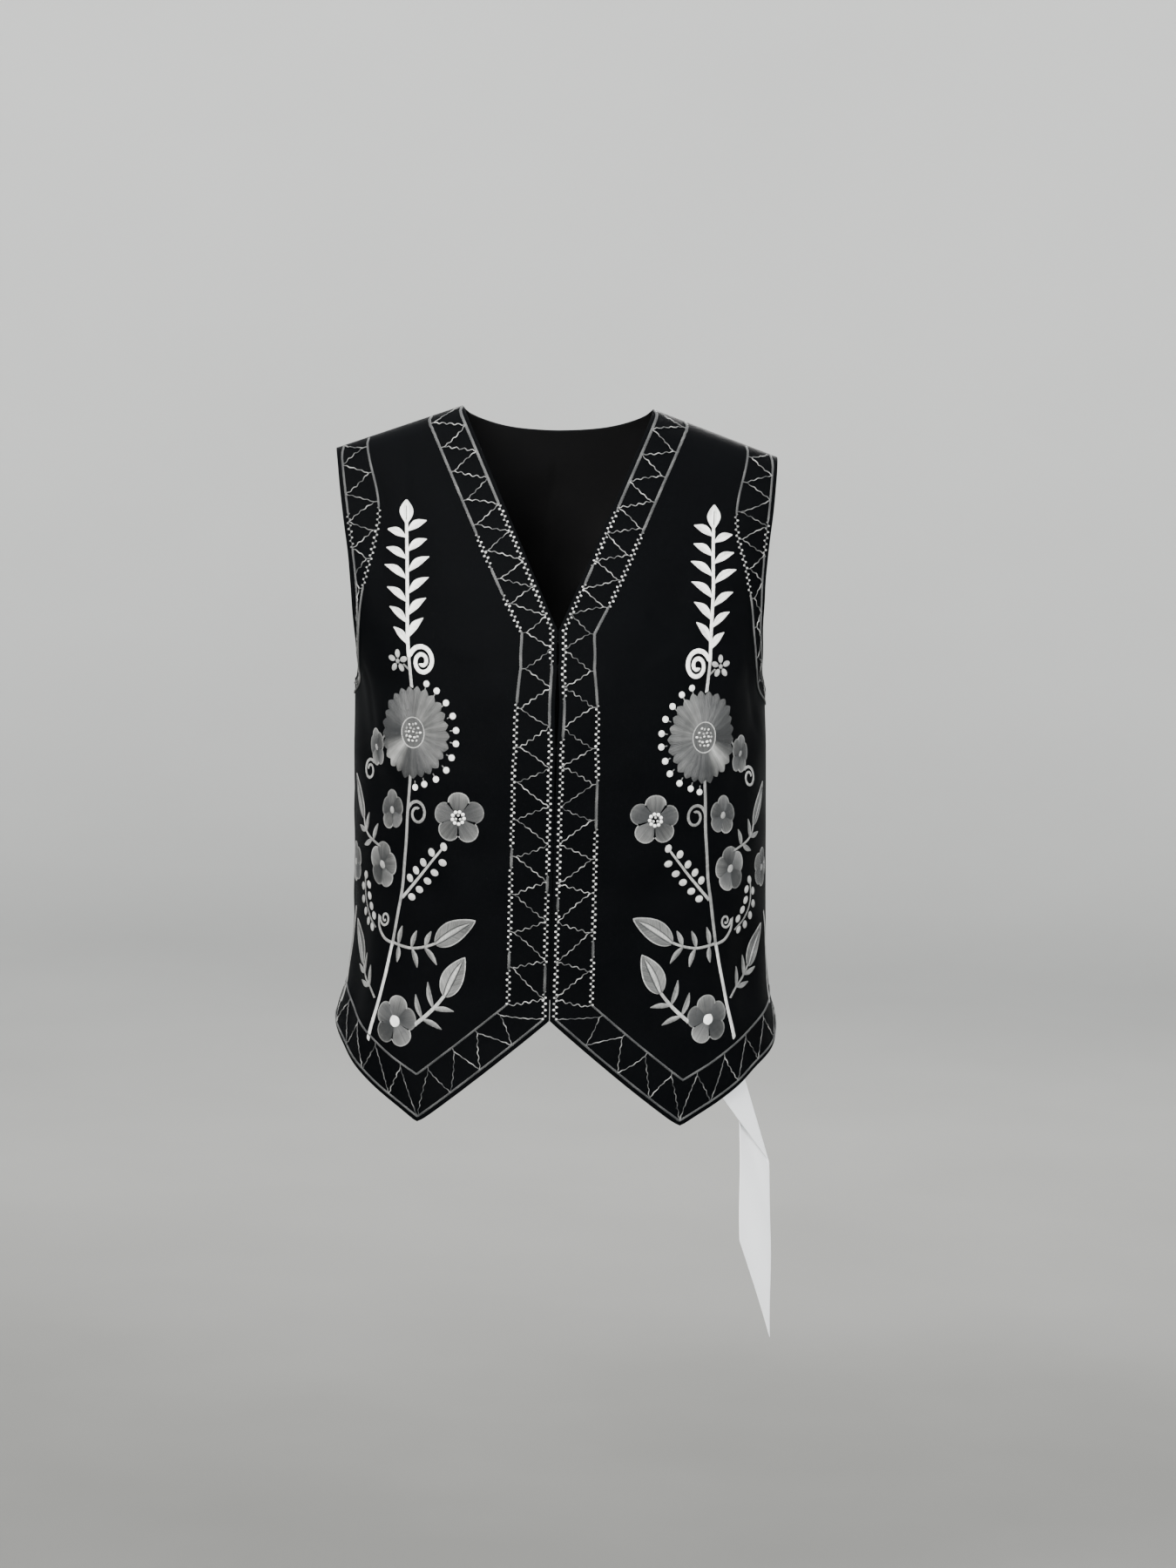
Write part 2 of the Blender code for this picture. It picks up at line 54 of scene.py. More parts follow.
def addCamera():
    yaw, rise, roll = (math.radians(view[key]) for key in ("yaw", "elevation", "roll"))
    forward = Vector((math.sin(yaw) * math.cos(rise), math.cos(yaw) * math.cos(rise), -math.sin(rise)))
    level = Vector((math.cos(yaw), -math.sin(yaw), 0.0))
    upright = level.cross(forward)
    right = level * math.cos(roll) + upright * math.sin(roll)
    up = upright * math.cos(roll) - level * math.sin(roll)
    data = bpy.data.cameras.new("photoCamera")
    data.lens = view["lens"]
    data.sensor_width = 36.0
    data.clip_end = 60.0
    camera = bpy.data.objects.new("photoCamera", data)
    camera.matrix_world = Matrix.Translation(Vector(view["target"]) - forward * view["distance"]) @ Matrix(
        (right, up, -forward)
    ).transposed().to_4x4()
    bpy.context.scene.collection.objects.link(camera)
    bpy.context.scene.camera = camera


addCamera()
print("camera placed")

# The worn shape, the same rule as the solids

garment = {
    "thickness": 0.0018,
    "seamHalfGap": 0.00017,
    "frontHalfGap": 0.00025,
    "neckHalfWidth": 0.078,
    "shoulderHalfWidth": 0.181,
    "shoulderDrop": 0.037,
    "vDrop": 0.173,
    "backNeckDrop": 0.022,
    "underarmDrop": 0.226,
    "sideHemDrop": 0.507,
    "frontEndDrop": 0.490,
    "pointDrop": 0.579,
    "pointAcross": 0.4,
    "pointFade": 1.5,
    "backHemDrop": 0.514,
    "roundness": 2.35,
    "backNeckCurve": 0.6,
    "backNeckShare": 4 / 9,
    "hemCurve": 0.86,
    "pointSoftness": 0.0024,
    "halfGirth": 0.236,
    "frontColumns": 75,
    "backColumns": 63,
    "lowerRows": 84,
    "upperRows": 60,
    "underarmCrowding": 1.5,
    "shoulderCrowding": 1.8,
}

Section = namedtuple("Section", "drop halfWidth sway frontDepth backDepth")
sections = (
    Section(0.000, 0.262, 0.0000, 0.122, 0.105),
    Section(0.040, 0.248, 0.0000, 0.122, 0.105),
    Section(0.075, 0.229, 0.0005, 0.122, 0.105),
    Section(0.110, 0.208, 0.0015, 0.122, 0.105),
    Section(0.145, 0.191, 0.0025, 0.122, 0.105),
    Section(0.175, 0.181, 0.0036, 0.122, 0.105),
    Section(0.205, 0.1725, 0.0053, 0.122, 0.105),
    Section(0.226, 0.1690, 0.0065, 0.122, 0.105),
    Section(0.280, 0.1700, 0.0081, 0.122, 0.103),
    Section(0.360, 0.1702, 0.0100, 0.118, 0.099),
    Section(0.430, 0.1710, 0.0110, 0.115, 0.102),
    Section(0.475, 0.1753, 0.0108, 0.113, 0.108),
    Section(0.510, 0.1835, 0.0095, 0.113, 0.113),
    Section(0.590, 0.1890, 0.0095, 0.114, 0.116),
)

ShoulderRow = namedtuple("ShoulderRow", "below frontShare backShare")
shoulderProfile = (
    ShoulderRow(0.000, 0.000, 0.000),
    ShoulderRow(0.004, 0.113, 0.131),
    ShoulderRow(0.012, 0.190, 0.228),
    ShoulderRow(0.030, 0.285, 0.385),
    ShoulderRow(0.060, 0.400, 0.600),
    ShoulderRow(0.100, 0.560, 0.810),
    ShoulderRow(0.150, 0.760, 0.950),
    ShoulderRow(0.200, 0.915, 1.000),
    ShoulderRow(0.250, 0.990, 1.000),
    ShoulderRow(0.300, 1.000, 1.000),
    ShoulderRow(0.700, 1.000, 1.000),
)

ArmholeRow = namedtuple("ArmholeRow", "drop frontReach backReach")
armhole = (
    ArmholeRow(0.037, 0.1810, 0.1810),
    ArmholeRow(0.075, 0.1768, 0.1780),
    ArmholeRow(0.110, 0.1722, 0.1745),
    ArmholeRow(0.145, 0.1685, 0.1715),
    ArmholeRow(0.175, 0.1668, 0.1697),
    ArmholeRow(0.205, 0.1670, 0.1686),
    ArmholeRow(0.226, 0.1690, 0.1690),
)

frontParting = (
    {"start": 0.178, "end": 0.203, "halfGap": 0.0009},
    {"start": 0.200, "end": 0.269, "halfGap": 0.0015},
    {"start": 0.267, "end": 0.310, "halfGap": 0.0005},
)

# Folds laid one by one. Across runs from 0 at the centre to 1 at the side seam; a negative height is a
# trough.
Fold = namedtuple("Fold", "across0 drop0 across1 drop1 halfWidth height")
folds = {
    "front_right": (
        Fold(0.90, 0.205, 0.62, 0.330, 0.017, -0.0030),
        Fold(0.74, 0.190, 0.50, 0.262, 0.014, 0.0018),
        Fold(0.45, 0.150, 0.74, 0.120, 0.013, 0.0015),
        Fold(0.30, 0.390, 0.66, 0.372, 0.016, -0.0016),
        Fold(0.72, 0.400, 0.80, 0.560, 0.020, -0.0034),
        Fold(0.52, 0.420, 0.58, 0.570, 0.018, 0.0020),
        Fold(0.315, 0.158, 0.425, 0.178, 0.0035, -0.0011),
        Fold(0.42, 0.188, 0.30, 0.205, 0.006, 0.0007),
        Fold(0.72, 0.196, 0.84, 0.262, 0.006, -0.0012),
        Fold(0.34, 0.366, 0.52, 0.372, 0.006, -0.0006),
    ),
    "front_left": (
        Fold(0.90, 0.210, 0.60, 0.340, 0.018, -0.0028),
        Fold(0.66, 0.060, 0.62, 0.170, 0.013, -0.0017),
        Fold(0.42, 0.070, 0.40, 0.150, 0.012, 0.0014),
        Fold(0.36, 0.380, 0.70, 0.400, 0.018, -0.0018),
        Fold(0.74, 0.390, 0.82, 0.550, 0.019, -0.0032),
        Fold(0.50, 0.430, 0.56, 0.560, 0.018, 0.0022),
        Fold(0.54, 0.030, 0.53, 0.085, 0.005, -0.0009),
        Fold(0.78, 0.205, 0.70, 0.262, 0.006, -0.0011),
        Fold(0.26, 0.196, 0.42, 0.186, 0.007, 0.0006),
    ),
    "back": (
        Fold(0.88, 0.215, 0.50, 0.330, 0.020, -0.0034),
        Fold(-0.88, 0.212, -0.46, 0.345, 0.020, -0.0036),
        Fold(-0.30, 0.360, 0.34, 0.372, 0.020, -0.0030),
        Fold(-0.42, 0.400, 0.24, 0.416, 0.018, 0.0022),
        Fold(0.56, 0.410, 0.62, 0.520, 0.022, -0.0036),
        Fold(-0.60, 0.400, -0.66, 0.520, 0.022, -0.0034),
        Fold(0.10, 0.430, 0.12, 0.520, 0.024, 0.0024),
        Fold(0.30, 0.070, 0.36, 0.170, 0.018, -0.0018),
        Fold(-0.34, 0.070, -0.30, 0.180, 0.018, -0.0018),
        Fold(0.78, 0.200, 0.60, 0.258, 0.006, -0.0011),
        Fold(-0.80, 0.202, -0.64, 0.250, 0.006, -0.0010),
        Fold(-0.16, 0.336, 0.20, 0.331, 0.006, -0.0009),
    ),
}
foldRule = {"edgeFade": 0.022, "endReach": 0.12, "endFade": 0.34}

# Slack of the cloth between the folds: long, low, uneven waves. The first two count per metre along and down.
Wave = namedtuple("Wave", "along down phase height")
slack = (
    Wave(31.0, 13.0, 0.4, 0.00034),
    Wave(-19.0, 37.0, 1.9, 0.00030),
    Wave(53.0, 29.0, 3.1, 0.00018),
    Wave(-44.0, 61.0, 5.0, 0.00014),
    Wave(11.0, 83.0, 2.2, 0.00012),
)


def column(table, name):
    return [getattr(row, name) for row in table]


def smoothThrough(places, values, at):
    # monotone cubic through a table's column
    places = np.asarray(places, float)
    values = np.asarray(values, float)
    step = np.diff(places)
    slope = np.diff(values) / step
    tangent = np.zeros(len(places))
    tangent[0] = slope[0]
    tangent[-1] = slope[-1]
    sameWay = slope[:-1] * slope[1:] > 0
    mean = 2 * slope[:-1] * slope[1:] / np.where(sameWay, slope[:-1] + slope[1:], 1.0)
    tangent[1:-1] = np.where(sameWay, mean, 0.0)
    at = np.clip(np.asarray(at, float), places[0], places[-1])
    left = np.clip(np.searchsorted(places, at, side="right") - 1, 0, len(step) - 1)
    part = (at - places[left]) / step[left]
    rise = part * part * (3 - 2 * part)
    return (
        values[left] * (1 - rise)
        + values[left + 1] * rise
        + step[left] * tangent[left] * part * (1 - part) ** 2
        - step[left] * tangent[left + 1] * part * part * (1 - part)
    )


def smoothStep(value):
    value = np.clip(value, 0.0, 1.0)
    return value * value * (3 - 2 * value)


def sectionColumn(name, drop):
    return smoothThrough(column(sections, "drop"), column(sections, name), drop)


def halfWidth(drop, side):
    return sectionColumn("halfWidth", drop) + side * sectionColumn("sway", drop)


def shoulderLine(reach):
    neck = garment["neckHalfWidth"]
    slope = garment["shoulderDrop"] / (garment["shoulderHalfWidth"] - neck)
    insideNeck = (np.minimum(reach, neck) ** 2 / neck - neck) / 2
    return slope * (insideNeck + np.maximum(reach - neck, 0.0))


def depthAt(face, reach, drop, side):
    width = halfWidth(drop, side)
    share = np.clip(reach / width, 0.0, 1.0)
    across = (1 - share ** garment["roundness"]) ** (1 / garment["roundness"])
    below = np.sqrt(np.maximum(drop - shoulderLine(reach), 0.0))
    roots = np.sqrt(column(shoulderProfile, "below"))
    rise = smoothThrough(roots, column(shoulderProfile, face + "Share"), below)
    return sectionColumn(face + "Depth", drop) * rise * across


def armholeReach(face, drop, side):
    reach = smoothThrough(column(armhole, "drop"), column(armhole, face + "Reach"), drop)
    return reach + side * sectionColumn("sway", drop)


def frontHalfGap(drop):
    gap = np.full(np.shape(drop), garment["frontHalfGap"])
    for part in frontParting:
        along = (drop - part["start"]) / (part["end"] - part["start"])
        inside = (along > 0) & (along < 1)
        gap = np.where(inside, gap + part["halfGap"] * np.sin(math.pi * np.clip(along, 0, 1)), gap)
    return gap


class Face:
    # one side of one face of the body, unrolled from the centre line

    dropStep = 0.004
    tableDrops = np.arange(-0.024, 0.604, dropStep)
    tableShares = np.linspace(0, 1, 161)

    def __init__(self, panel, face, side):
        self.panel, self.face, self.side = panel, face, side
        turn = np.linspace(0, math.pi / 2, 721)
        rows, lengths = [], []
        for drop in self.tableDrops:
            reach = float(halfWidth(drop, side)) * np.sin(turn)
            depth = depthAt(face, reach, np.full(reach.shape, drop), side)
            run = np.concatenate([[0], np.cumsum(np.hypot(np.diff(reach), np.diff(depth)))])
            rows.append(np.interp(self.tableShares * run[-1], run, turn))
            lengths.append(run[-1])
        self.turns = np.array(rows)
        self.lengths = np.array(lengths)

    def base(self, turn, drop):
        reach = halfWidth(drop, self.side) * np.sin(turn)
        depth = depthAt(self.face, reach, drop, self.side)
        way = -1 if self.face == "front" else 1
        return np.stack([self.side * reach, way * (depth + garment["seamHalfGap"]), -drop], axis=-1)

    def tableRow(self, drop):
        row = np.clip((drop - self.tableDrops[0]) / self.dropStep, 0, len(self.tableDrops) - 1.001)
        low = row.astype(int)
        return low, row - low

    def turnAt(self, s, drop):
        low, part = self.tableRow(drop)
        length = self.lengths[low] * (1 - part) + self.lengths[low + 1] * part
        place = np.clip(s / length, 0, 1) * (len(self.tableShares) - 1.001)
        left = place.astype(int)
        across = place - left
        upper = self.turns[low, left] * (1 - across) + self.turns[low, left + 1] * across
        lower = self.turns[low + 1, left] * (1 - across) + self.turns[low + 1, left + 1] * across
        return upper * (1 - part) + lower * part

    def sAt(self, reach, drop):
        turn = np.arcsin(np.clip(reach / halfWidth(drop, self.side), 0, 1))
        low, part = self.tableRow(drop)
        found = np.zeros(np.shape(turn))
        for index in np.unique(low):
            here = low == index
            a = np.interp(turn[here], self.turns[index], self.tableShares) * self.lengths[index]
            b = np.interp(turn[here], self.turns[index + 1], self.tableShares) * self.lengths[index + 1]
            found[here] = a * (1 - part[here]) + b * part[here]
        return found

    def normal(self, turn, drop):
        step = 0.004
        high = np.minimum(turn + step, math.pi / 2 - 1e-4)
        along = self.base(high, drop) - self.base(high - 2 * step, drop)
        down = self.base(turn, drop + 0.0005) - self.base(turn, drop - 0.0005)
        way = self.side if self.face == "front" else -self.side
        found = np.cross(down, along) * way
        return found / np.maximum(np.linalg.norm(found, axis=-1, keepdims=True), 1e-12)

    def foldHeight(self, s, drop):
        across = self.side * s if self.face == "back" else s
        height = np.zeros(np.shape(s))
        girth = garment["halfGirth"]
        for fold in folds[self.panel]:
            start = np.array([fold.across0 * girth, fold.drop0])
            run = np.array([fold.across1 * girth, fold.drop1]) - start
            length = np.linalg.norm(run)
            along = ((across - start[0]) * run[0] + (drop - start[1]) * run[1]) / length**2
            off = ((across - start[0]) * run[1] - (drop - start[1]) * run[0]) / length
            fade = smoothStep((along + foldRule["endReach"]) / foldRule["endFade"])
            fade *= smoothStep((1 + foldRule["endReach"] - along) / foldRule["endFade"])
            height += fold.height * np.exp(-((off / fold.halfWidth) ** 2)) * fade
        for wave in slack:
            turn = wave.along * across * 2 + wave.down * drop * 2 + wave.phase + self.side
            height += wave.height * np.sin(turn)
        edge = girth - s
        top = drop - np.maximum(shoulderLine(np.minimum(s * 0.94, garment["shoulderHalfWidth"])), 0.0)
        fade = smoothStep(edge / foldRule["edgeFade"]) * smoothStep(top / foldRule["edgeFade"])
        if self.face == "front":
            fade = fade * smoothStep(s / foldRule["edgeFade"])
        return height * fade

    def place(self, s, drop, lift):
        # points on the cloth at (s, drop), stood off it by lift, and the cloth's normals there
        s, drop, lift = (np.asarray(value, float) for value in (s, drop, lift))
        turn = self.turnAt(s, drop)
        normal = self.normal(turn, drop)
        height = self.foldHeight(s, drop) + lift
        return self.base(turn, drop) + normal * height[..., None], normal


faces = {
    "front_left": Face("front_left", "front", -1),
    "front_right": Face("front_right", "front", 1),
    "back_left": Face("back", "back", -1),
    "back_right": Face("back", "back", 1),
}
print("worn shape worked out")


# Helpers for meshes, Geometry Nodes and materials


def socketValue(shader, **values):
    for name, value in values.items():
        shader.inputs[name.replace("_", " ")].default_value = value


def addNode(tree, kind, inputs, settings):
    # a node with its settings, and its inputs joined to a socket or given a value
    node = tree.nodes.new(kind)
    for name, value in settings.items():
        setattr(node, name, value)
    for name, value in (inputs or {}).items():
        if isinstance(value, bpy.types.NodeSocket):
            tree.links.new(value, node.inputs[name])
        else:
            node.inputs[name].default_value = value
    return node


class Shader:
    # a material's node tree with short ways to add and join nodes

    def __init__(self, name):
        self.material = bpy.data.materials.new(name)
        self.material.use_nodes = True
        self.tree = self.material.node_tree
        self.surface = self.tree.nodes["Principled BSDF"]

    def add(self, kind, inputs=None, **settings):
        return addNode(self.tree, kind, inputs, settings)

    def maths(self, operation, a, b=0.0, clamp=False):
        return self.add("ShaderNodeMath", {0: a, 1: b}, operation=operation, use_clamp=clamp).outputs[0]

    def mix(self, factor, a, b):
        return self.add("ShaderNodeMix", {0: factor, 6: a, 7: b}, data_type="RGBA").outputs[2]

    def join(self, source, name):
        self.tree.links.new(source, self.surface.inputs[name])

    def bump(self, height, distance, strength=1.0, under=None):
        inputs = {"Height": height, "Distance": distance, "Strength": strength}
        if under is not None:
            inputs["Normal"] = under
        return self.add("ShaderNodeBump", inputs).outputs[0]


def clothMaterial(name, cloth):
    # plain weave on the piece's own UV map, which is in metres, with fibre and tone variation
    look, weave = Shader(name), cloth["weave"]
    uv = look.add("ShaderNodeUVMap", uv_map="cloth").outputs[0]
    across = look.add("ShaderNodeSeparateXYZ", {0: uv})
    warp = look.maths("SINE", look.maths("MULTIPLY", across.outputs[0], 2 * math.pi / weave.pitch))
    weft = look.maths("SINE", look.maths("MULTIPLY", across.outputs[1], 2 * math.pi / weave.pitch))
    threads = look.maths("MULTIPLY", warp, weft)
    thread = look.maths("MULTIPLY", look.maths("ADD", threads, 1.0), 0.5)
    fibre = look.add("ShaderNodeTexNoise", {"Vector": uv, "Scale": weave.fibreScale, "Detail": 3.0})
    cloud = look.add("ShaderNodeTexNoise", {"Vector": uv, "Scale": weave.cloudScale, "Detail": 2.0})
    cloudy = look.maths("MULTIPLY", cloud.outputs[0], 0.65)
    tone = look.maths("ADD", look.maths("MULTIPLY", thread, 0.35), cloudy)
    tone = look.maths("MULTIPLY", tone, 1.0, clamp=True)
    look.join(look.mix(tone, cloth["dark"], cloth["light"]), "Base Color")
    spread = look.maths("MULTIPLY", look.maths("SUBTRACT", fibre.outputs[0], 0.5), weave.roughSpread)
    look.join(look.maths("ADD", spread, cloth["roughness"]), "Roughness")
    height = look.maths("ADD", thread, look.maths("MULTIPLY", fibre.outputs[0], 0.3))
    look.join(look.bump(height, weave.bump), "Normal")
    return look


def threadMaterial(name, dark, bright, roughness):
    # twisted thread: its tone attribute runs from dark to bright
    look = Shader(name)
    tone = look.add("ShaderNodeAttribute", attribute_name="tone").outputs["Fac"]
    where = look.add("ShaderNodeTexCoord").outputs["Object"]
    noise = look.add("ShaderNodeTexNoise", {"Vector": where, "Scale": 900.0, "Detail": 1.0})
    worn = look.add("ShaderNodeTexNoise", {"Vector": where, "Scale": 90.0, "Detail": 2.0})
    change = look.maths("MULTIPLY", look.maths("SUBTRACT", worn.outputs[0], 0.5), 0.22)
    level = look.maths("POWER", look.maths("ADD", tone, change, clamp=True), 3.0)
    look.join(look.mix(level, dark, bright), "Base Color")
    gloss = look.maths("MULTIPLY", look.maths("SUBTRACT", noise.outputs[0], 0.5), 0.2)
    look.join(look.maths("ADD", gloss, roughness), "Roughness")
    look.join(look.bump(noise.outputs[0], 0.00008), "Normal")
    socketValue(look.surface, Sheen_Weight=0.12, Sheen_Roughness=0.4)
    return look.material


def meshObject(name, mesh):
    made = bpy.data.objects.new(name, mesh)
    bpy.context.scene.collection.objects.link(made)
    return made


def madePlain(made, material=None):
    # the evaluated result as a plain mesh, with no modifier left on it
    graph = bpy.context.evaluated_depsgraph_get()
    graph.update()
    plain = bpy.data.meshes.new_from_object(made.evaluated_get(graph))
    made.modifiers.clear()
    old = made.data
    made.data = plain
    bpy.data.meshes.remove(old)
    if material is not None:
        made.data.materials.clear()
        made.data.materials.append(material)
    return made


def runNodes(made, tree, values):
    modifier = made.modifiers.new("make", "NODES")
    modifier.node_group = tree
    for item in tree.interface.items_tree:
        if item.item_type == "SOCKET" and item.in_out == "INPUT" and item.name in values:
            modifier[item.identifier] = values[item.name]
    return madePlain(made, values["Finish"])


class Tree:
    # a Geometry Nodes group with named inputs, from its Geometry to its Geometry

    def __init__(self, name, inputs):
        self.group = bpy.data.node_groups.new(name, "GeometryNodeTree")
        face = self.group.interface
        face.new_socket(name="Geometry", in_out="INPUT", socket_type="NodeSocketGeometry")
        for key, kind in inputs.items():
            face.new_socket(name=key, in_out="INPUT", socket_type="NodeSocket" + kind)
        face.new_socket(name="Geometry", in_out="OUTPUT", socket_type="NodeSocketGeometry")
        self.given = self.group.nodes.new("NodeGroupInput").outputs
        self.end = self.group.nodes.new("NodeGroupOutput").inputs[0]

    def add(self, kind, inputs=None, **settings):
        return addNode(self.group, kind, inputs, settings)

    def named(self, name, kind="FLOAT"):
        return self.add("GeometryNodeInputNamedAttribute", {"Name": name}, data_type=kind).outputs[0]

    def finish(self, geometry):
        smooth = self.add("GeometryNodeSetShadeSmooth", {"Geometry": geometry}).outputs[0]
        real = self.add("GeometryNodeRealizeInstances", {"Geometry": smooth}).outputs[0]
        done = self.add("GeometryNodeSetMaterial", {"Geometry": real, "Material": self.given["Finish"]})
        self.group.links.new(done.outputs[0], self.end)
        return self.group


def threadTree():
    # every line of the mesh becomes a thread of its own thickness
    tree = Tree("laidThreads", {"Sides": "Int", "Thread radius": "Float", "Finish": "Material"})
    given = tree.given
    line = tree.add("GeometryNodeMeshToCurve", {"Mesh": given["Geometry"]}).outputs[0]
    circle = {"Resolution": given["Sides"], "Radius": given["Thread radius"]}
    ring = tree.add("GeometryNodeCurvePrimitiveCircle", circle).outputs[0]
    sweep = {"Curve": line, "Profile Curve": ring, "Scale": tree.named("thickness"), "Fill Caps": True}
    return tree.finish(tree.add("GeometryNodeCurveToMesh", sweep).outputs[0])


def knotTree():
    # a small rounded stitch stands on every point, turned along its row
    sizes = {"Segments": "Int", "Rings": "Int", "Stitch radius": "Float", "Finish": "Material"}
    tree = Tree("roundedStitches", sizes)
    given = tree.given
    sphere = {"Segments": given["Segments"], "Rings": given["Rings"], "Radius": given["Stitch radius"]}
    ball = tree.add("GeometryNodeMeshUVSphere", sphere).outputs[0]
    axes = {
        "Primary Axis": tree.named("outward", "FLOAT_VECTOR"),
        "Secondary Axis": tree.named("along", "FLOAT_VECTOR"),
    }
    turn = tree.add("FunctionNodeAxesToRotation", axes, primary_axis="Z", secondary_axis="X").outputs[0]
    size = tree.named("size", "FLOAT_VECTOR")
    stand = {"Points": given["Geometry"], "Instance": ball, "Rotation": turn, "Scale": size}
    return tree.finish(tree.add("GeometryNodeInstanceOnPoints", stand).outputs[0])


trees = {"threads": threadTree(), "knots": knotTree()}


def attribute(mesh, name, kind, values):
    made = mesh.attributes.new(name, kind, "POINT")
    field = "vector" if kind == "FLOAT_VECTOR" else "value"
    made.data.foreach_set(field, np.asarray(values, np.float32).ravel())


# Cloth panels

Weave = namedtuple("Weave", "pitch fibreScale cloudScale roughSpread bump")

clothLook = {
    "dark": (0.0001, 0.0002, 0.0004, 1.0),
    "light": (0.0005, 0.0008, 0.0012, 1.0),
    "roughness": 0.60,
    "weave": Weave(0.0007, 2600.0, 26.0, 0.18, 0.00009),
    "edgeBevel": 0.0005,
}

liningLook = {
    "dark": (0.0040, 0.0040, 0.0042, 1.0),
    "light": (0.0080, 0.0080, 0.0084, 1.0),
    "roughness": 0.50,
    "weave": Weave(0.0005, 3200.0, 18.0, 0.15, 0.00004),
}


def rowLevels():
    lower = [(i / garment["lowerRows"], 1.0) for i in range(garment["lowerRows"])]
    top = garment["upperRows"]
    climbs = [(i / top) ** garment["underarmCrowding"] for i in range(top + 1)]
    return lower + [(1.0, (1 - climb) ** garment["shoulderCrowding"]) for climb in climbs]


def frontHemDrop(across):
    point = garment["pointAcross"]
    rise = np.sin(across * math.pi / 2) / math.sin(point * math.pi / 2)
    inner = garment["frontEndDrop"] + (garment["pointDrop"] - garment["frontEndDrop"]) * rise
    beyond = np.maximum(across - point, 0) / (1 - point)
    climb = garment["sideHemDrop"] - garment["pointDrop"]
    outer = garment["pointDrop"] + climb * beyond ** garment["hemCurve"]
    soft = garment["pointSoftness"]
    return -soft * np.log(np.exp(-inner / soft) + np.exp(-outer / soft))


def frontGrid(side):
    across = np.linspace(0, 1, garment["frontColumns"] + 1)
    around = np.sin(across * math.pi / 2)
    rows = []
    for up, below in rowLevels():
        if below == 1.0:
            straight = garment["frontEndDrop"] + (garment["sideHemDrop"] - garment["frontEndDrop"]) * around
            inner = garment["frontEndDrop"] + (garment["vDrop"] - garment["frontEndDrop"]) * up
            outer = garment["sideHemDrop"] + (garment["underarmDrop"] - garment["sideHemDrop"]) * up
            point = (frontHemDrop(across) - straight) * (1 - up) ** garment["pointFade"]
            drop = inner + (outer - inner) * around + point
            narrow = halfWidth(outer + point, -1)
            reach = narrow * around + (halfWidth(outer + point, side) - narrow) * around**3
        else:
            outer = garment["shoulderDrop"] + (garment["underarmDrop"] - garment["shoulderDrop"]) * below
            inner = garment["vDrop"] * below
            innerReach = garment["neckHalfWidth"] * (1 - below)
            blend = smoothStep(1 - below)
            spread = around * (1 - blend) + across * blend
            drop = inner + (outer - inner) * spread
            reach = innerReach + (armholeReach("front", outer, side) - innerReach) * spread
        rows.append((reach, drop))
    reach = np.array([row[0] for row in rows])
    drop = np.array([row[1] for row in rows])
    reach[:, 0] = np.maximum(reach[:, 0], frontHalfGap(drop[:, 0]))
    return reach, drop


def backGrid():
    columns = garment["backColumns"]
    across = np.linspace(-1, 1, 2 * columns + 1)
    out = np.abs(across)
    around = np.sin(out * math.pi / 2)
    neck = garment["neckHalfWidth"]
    topReach = np.interp(out, [0, garment["backNeckShare"], 1], [0, neck, garment["shoulderHalfWidth"]])
    inNeck = np.clip(1 - (topReach / neck) ** 2, 0, 1)
    curved = garment["backNeckDrop"] * inNeck ** garment["backNeckCurve"]
    topDrop = np.where(topReach < neck - 1e-9, curved, shoulderLine(topReach))
    hemDrop = garment["backHemDrop"] + (garment["sideHemDrop"] - garment["backHemDrop"]) * out**2
    side = np.sign(across)
    rows = []
    for up, below in rowLevels():
        if below == 1.0:
            drop = hemDrop + (garment["underarmDrop"] - hemDrop) * up
            reach = halfWidth(drop[-1] + 0 * drop, side) * around
        else:
            drop = topDrop + (garment["underarmDrop"] - topDrop) * below
            blend = smoothStep(1 - below)
            spread = around * (1 - blend) + topReach / garment["shoulderHalfWidth"] * blend
            reach = armholeReach("back", drop[-1], side) * spread
        rows.append((reach, drop))
    return across, np.array([row[0] for row in rows]), np.array([row[1] for row in rows])


def seamFlat(normal, seams):
    # at a seam both walls meet face to face, so the normals have no forward lean there
    normal[seams] *= np.array([1.0, 0.0, 1.0])
    return normal / np.maximum(np.linalg.norm(normal, axis=2, keepdims=True), 1e-12)


def gridNormals(points):
    normal = np.cross(np.gradient(points, axis=1), np.gradient(points, axis=0))
    return normal / np.linalg.norm(normal, axis=2, keepdims=True)


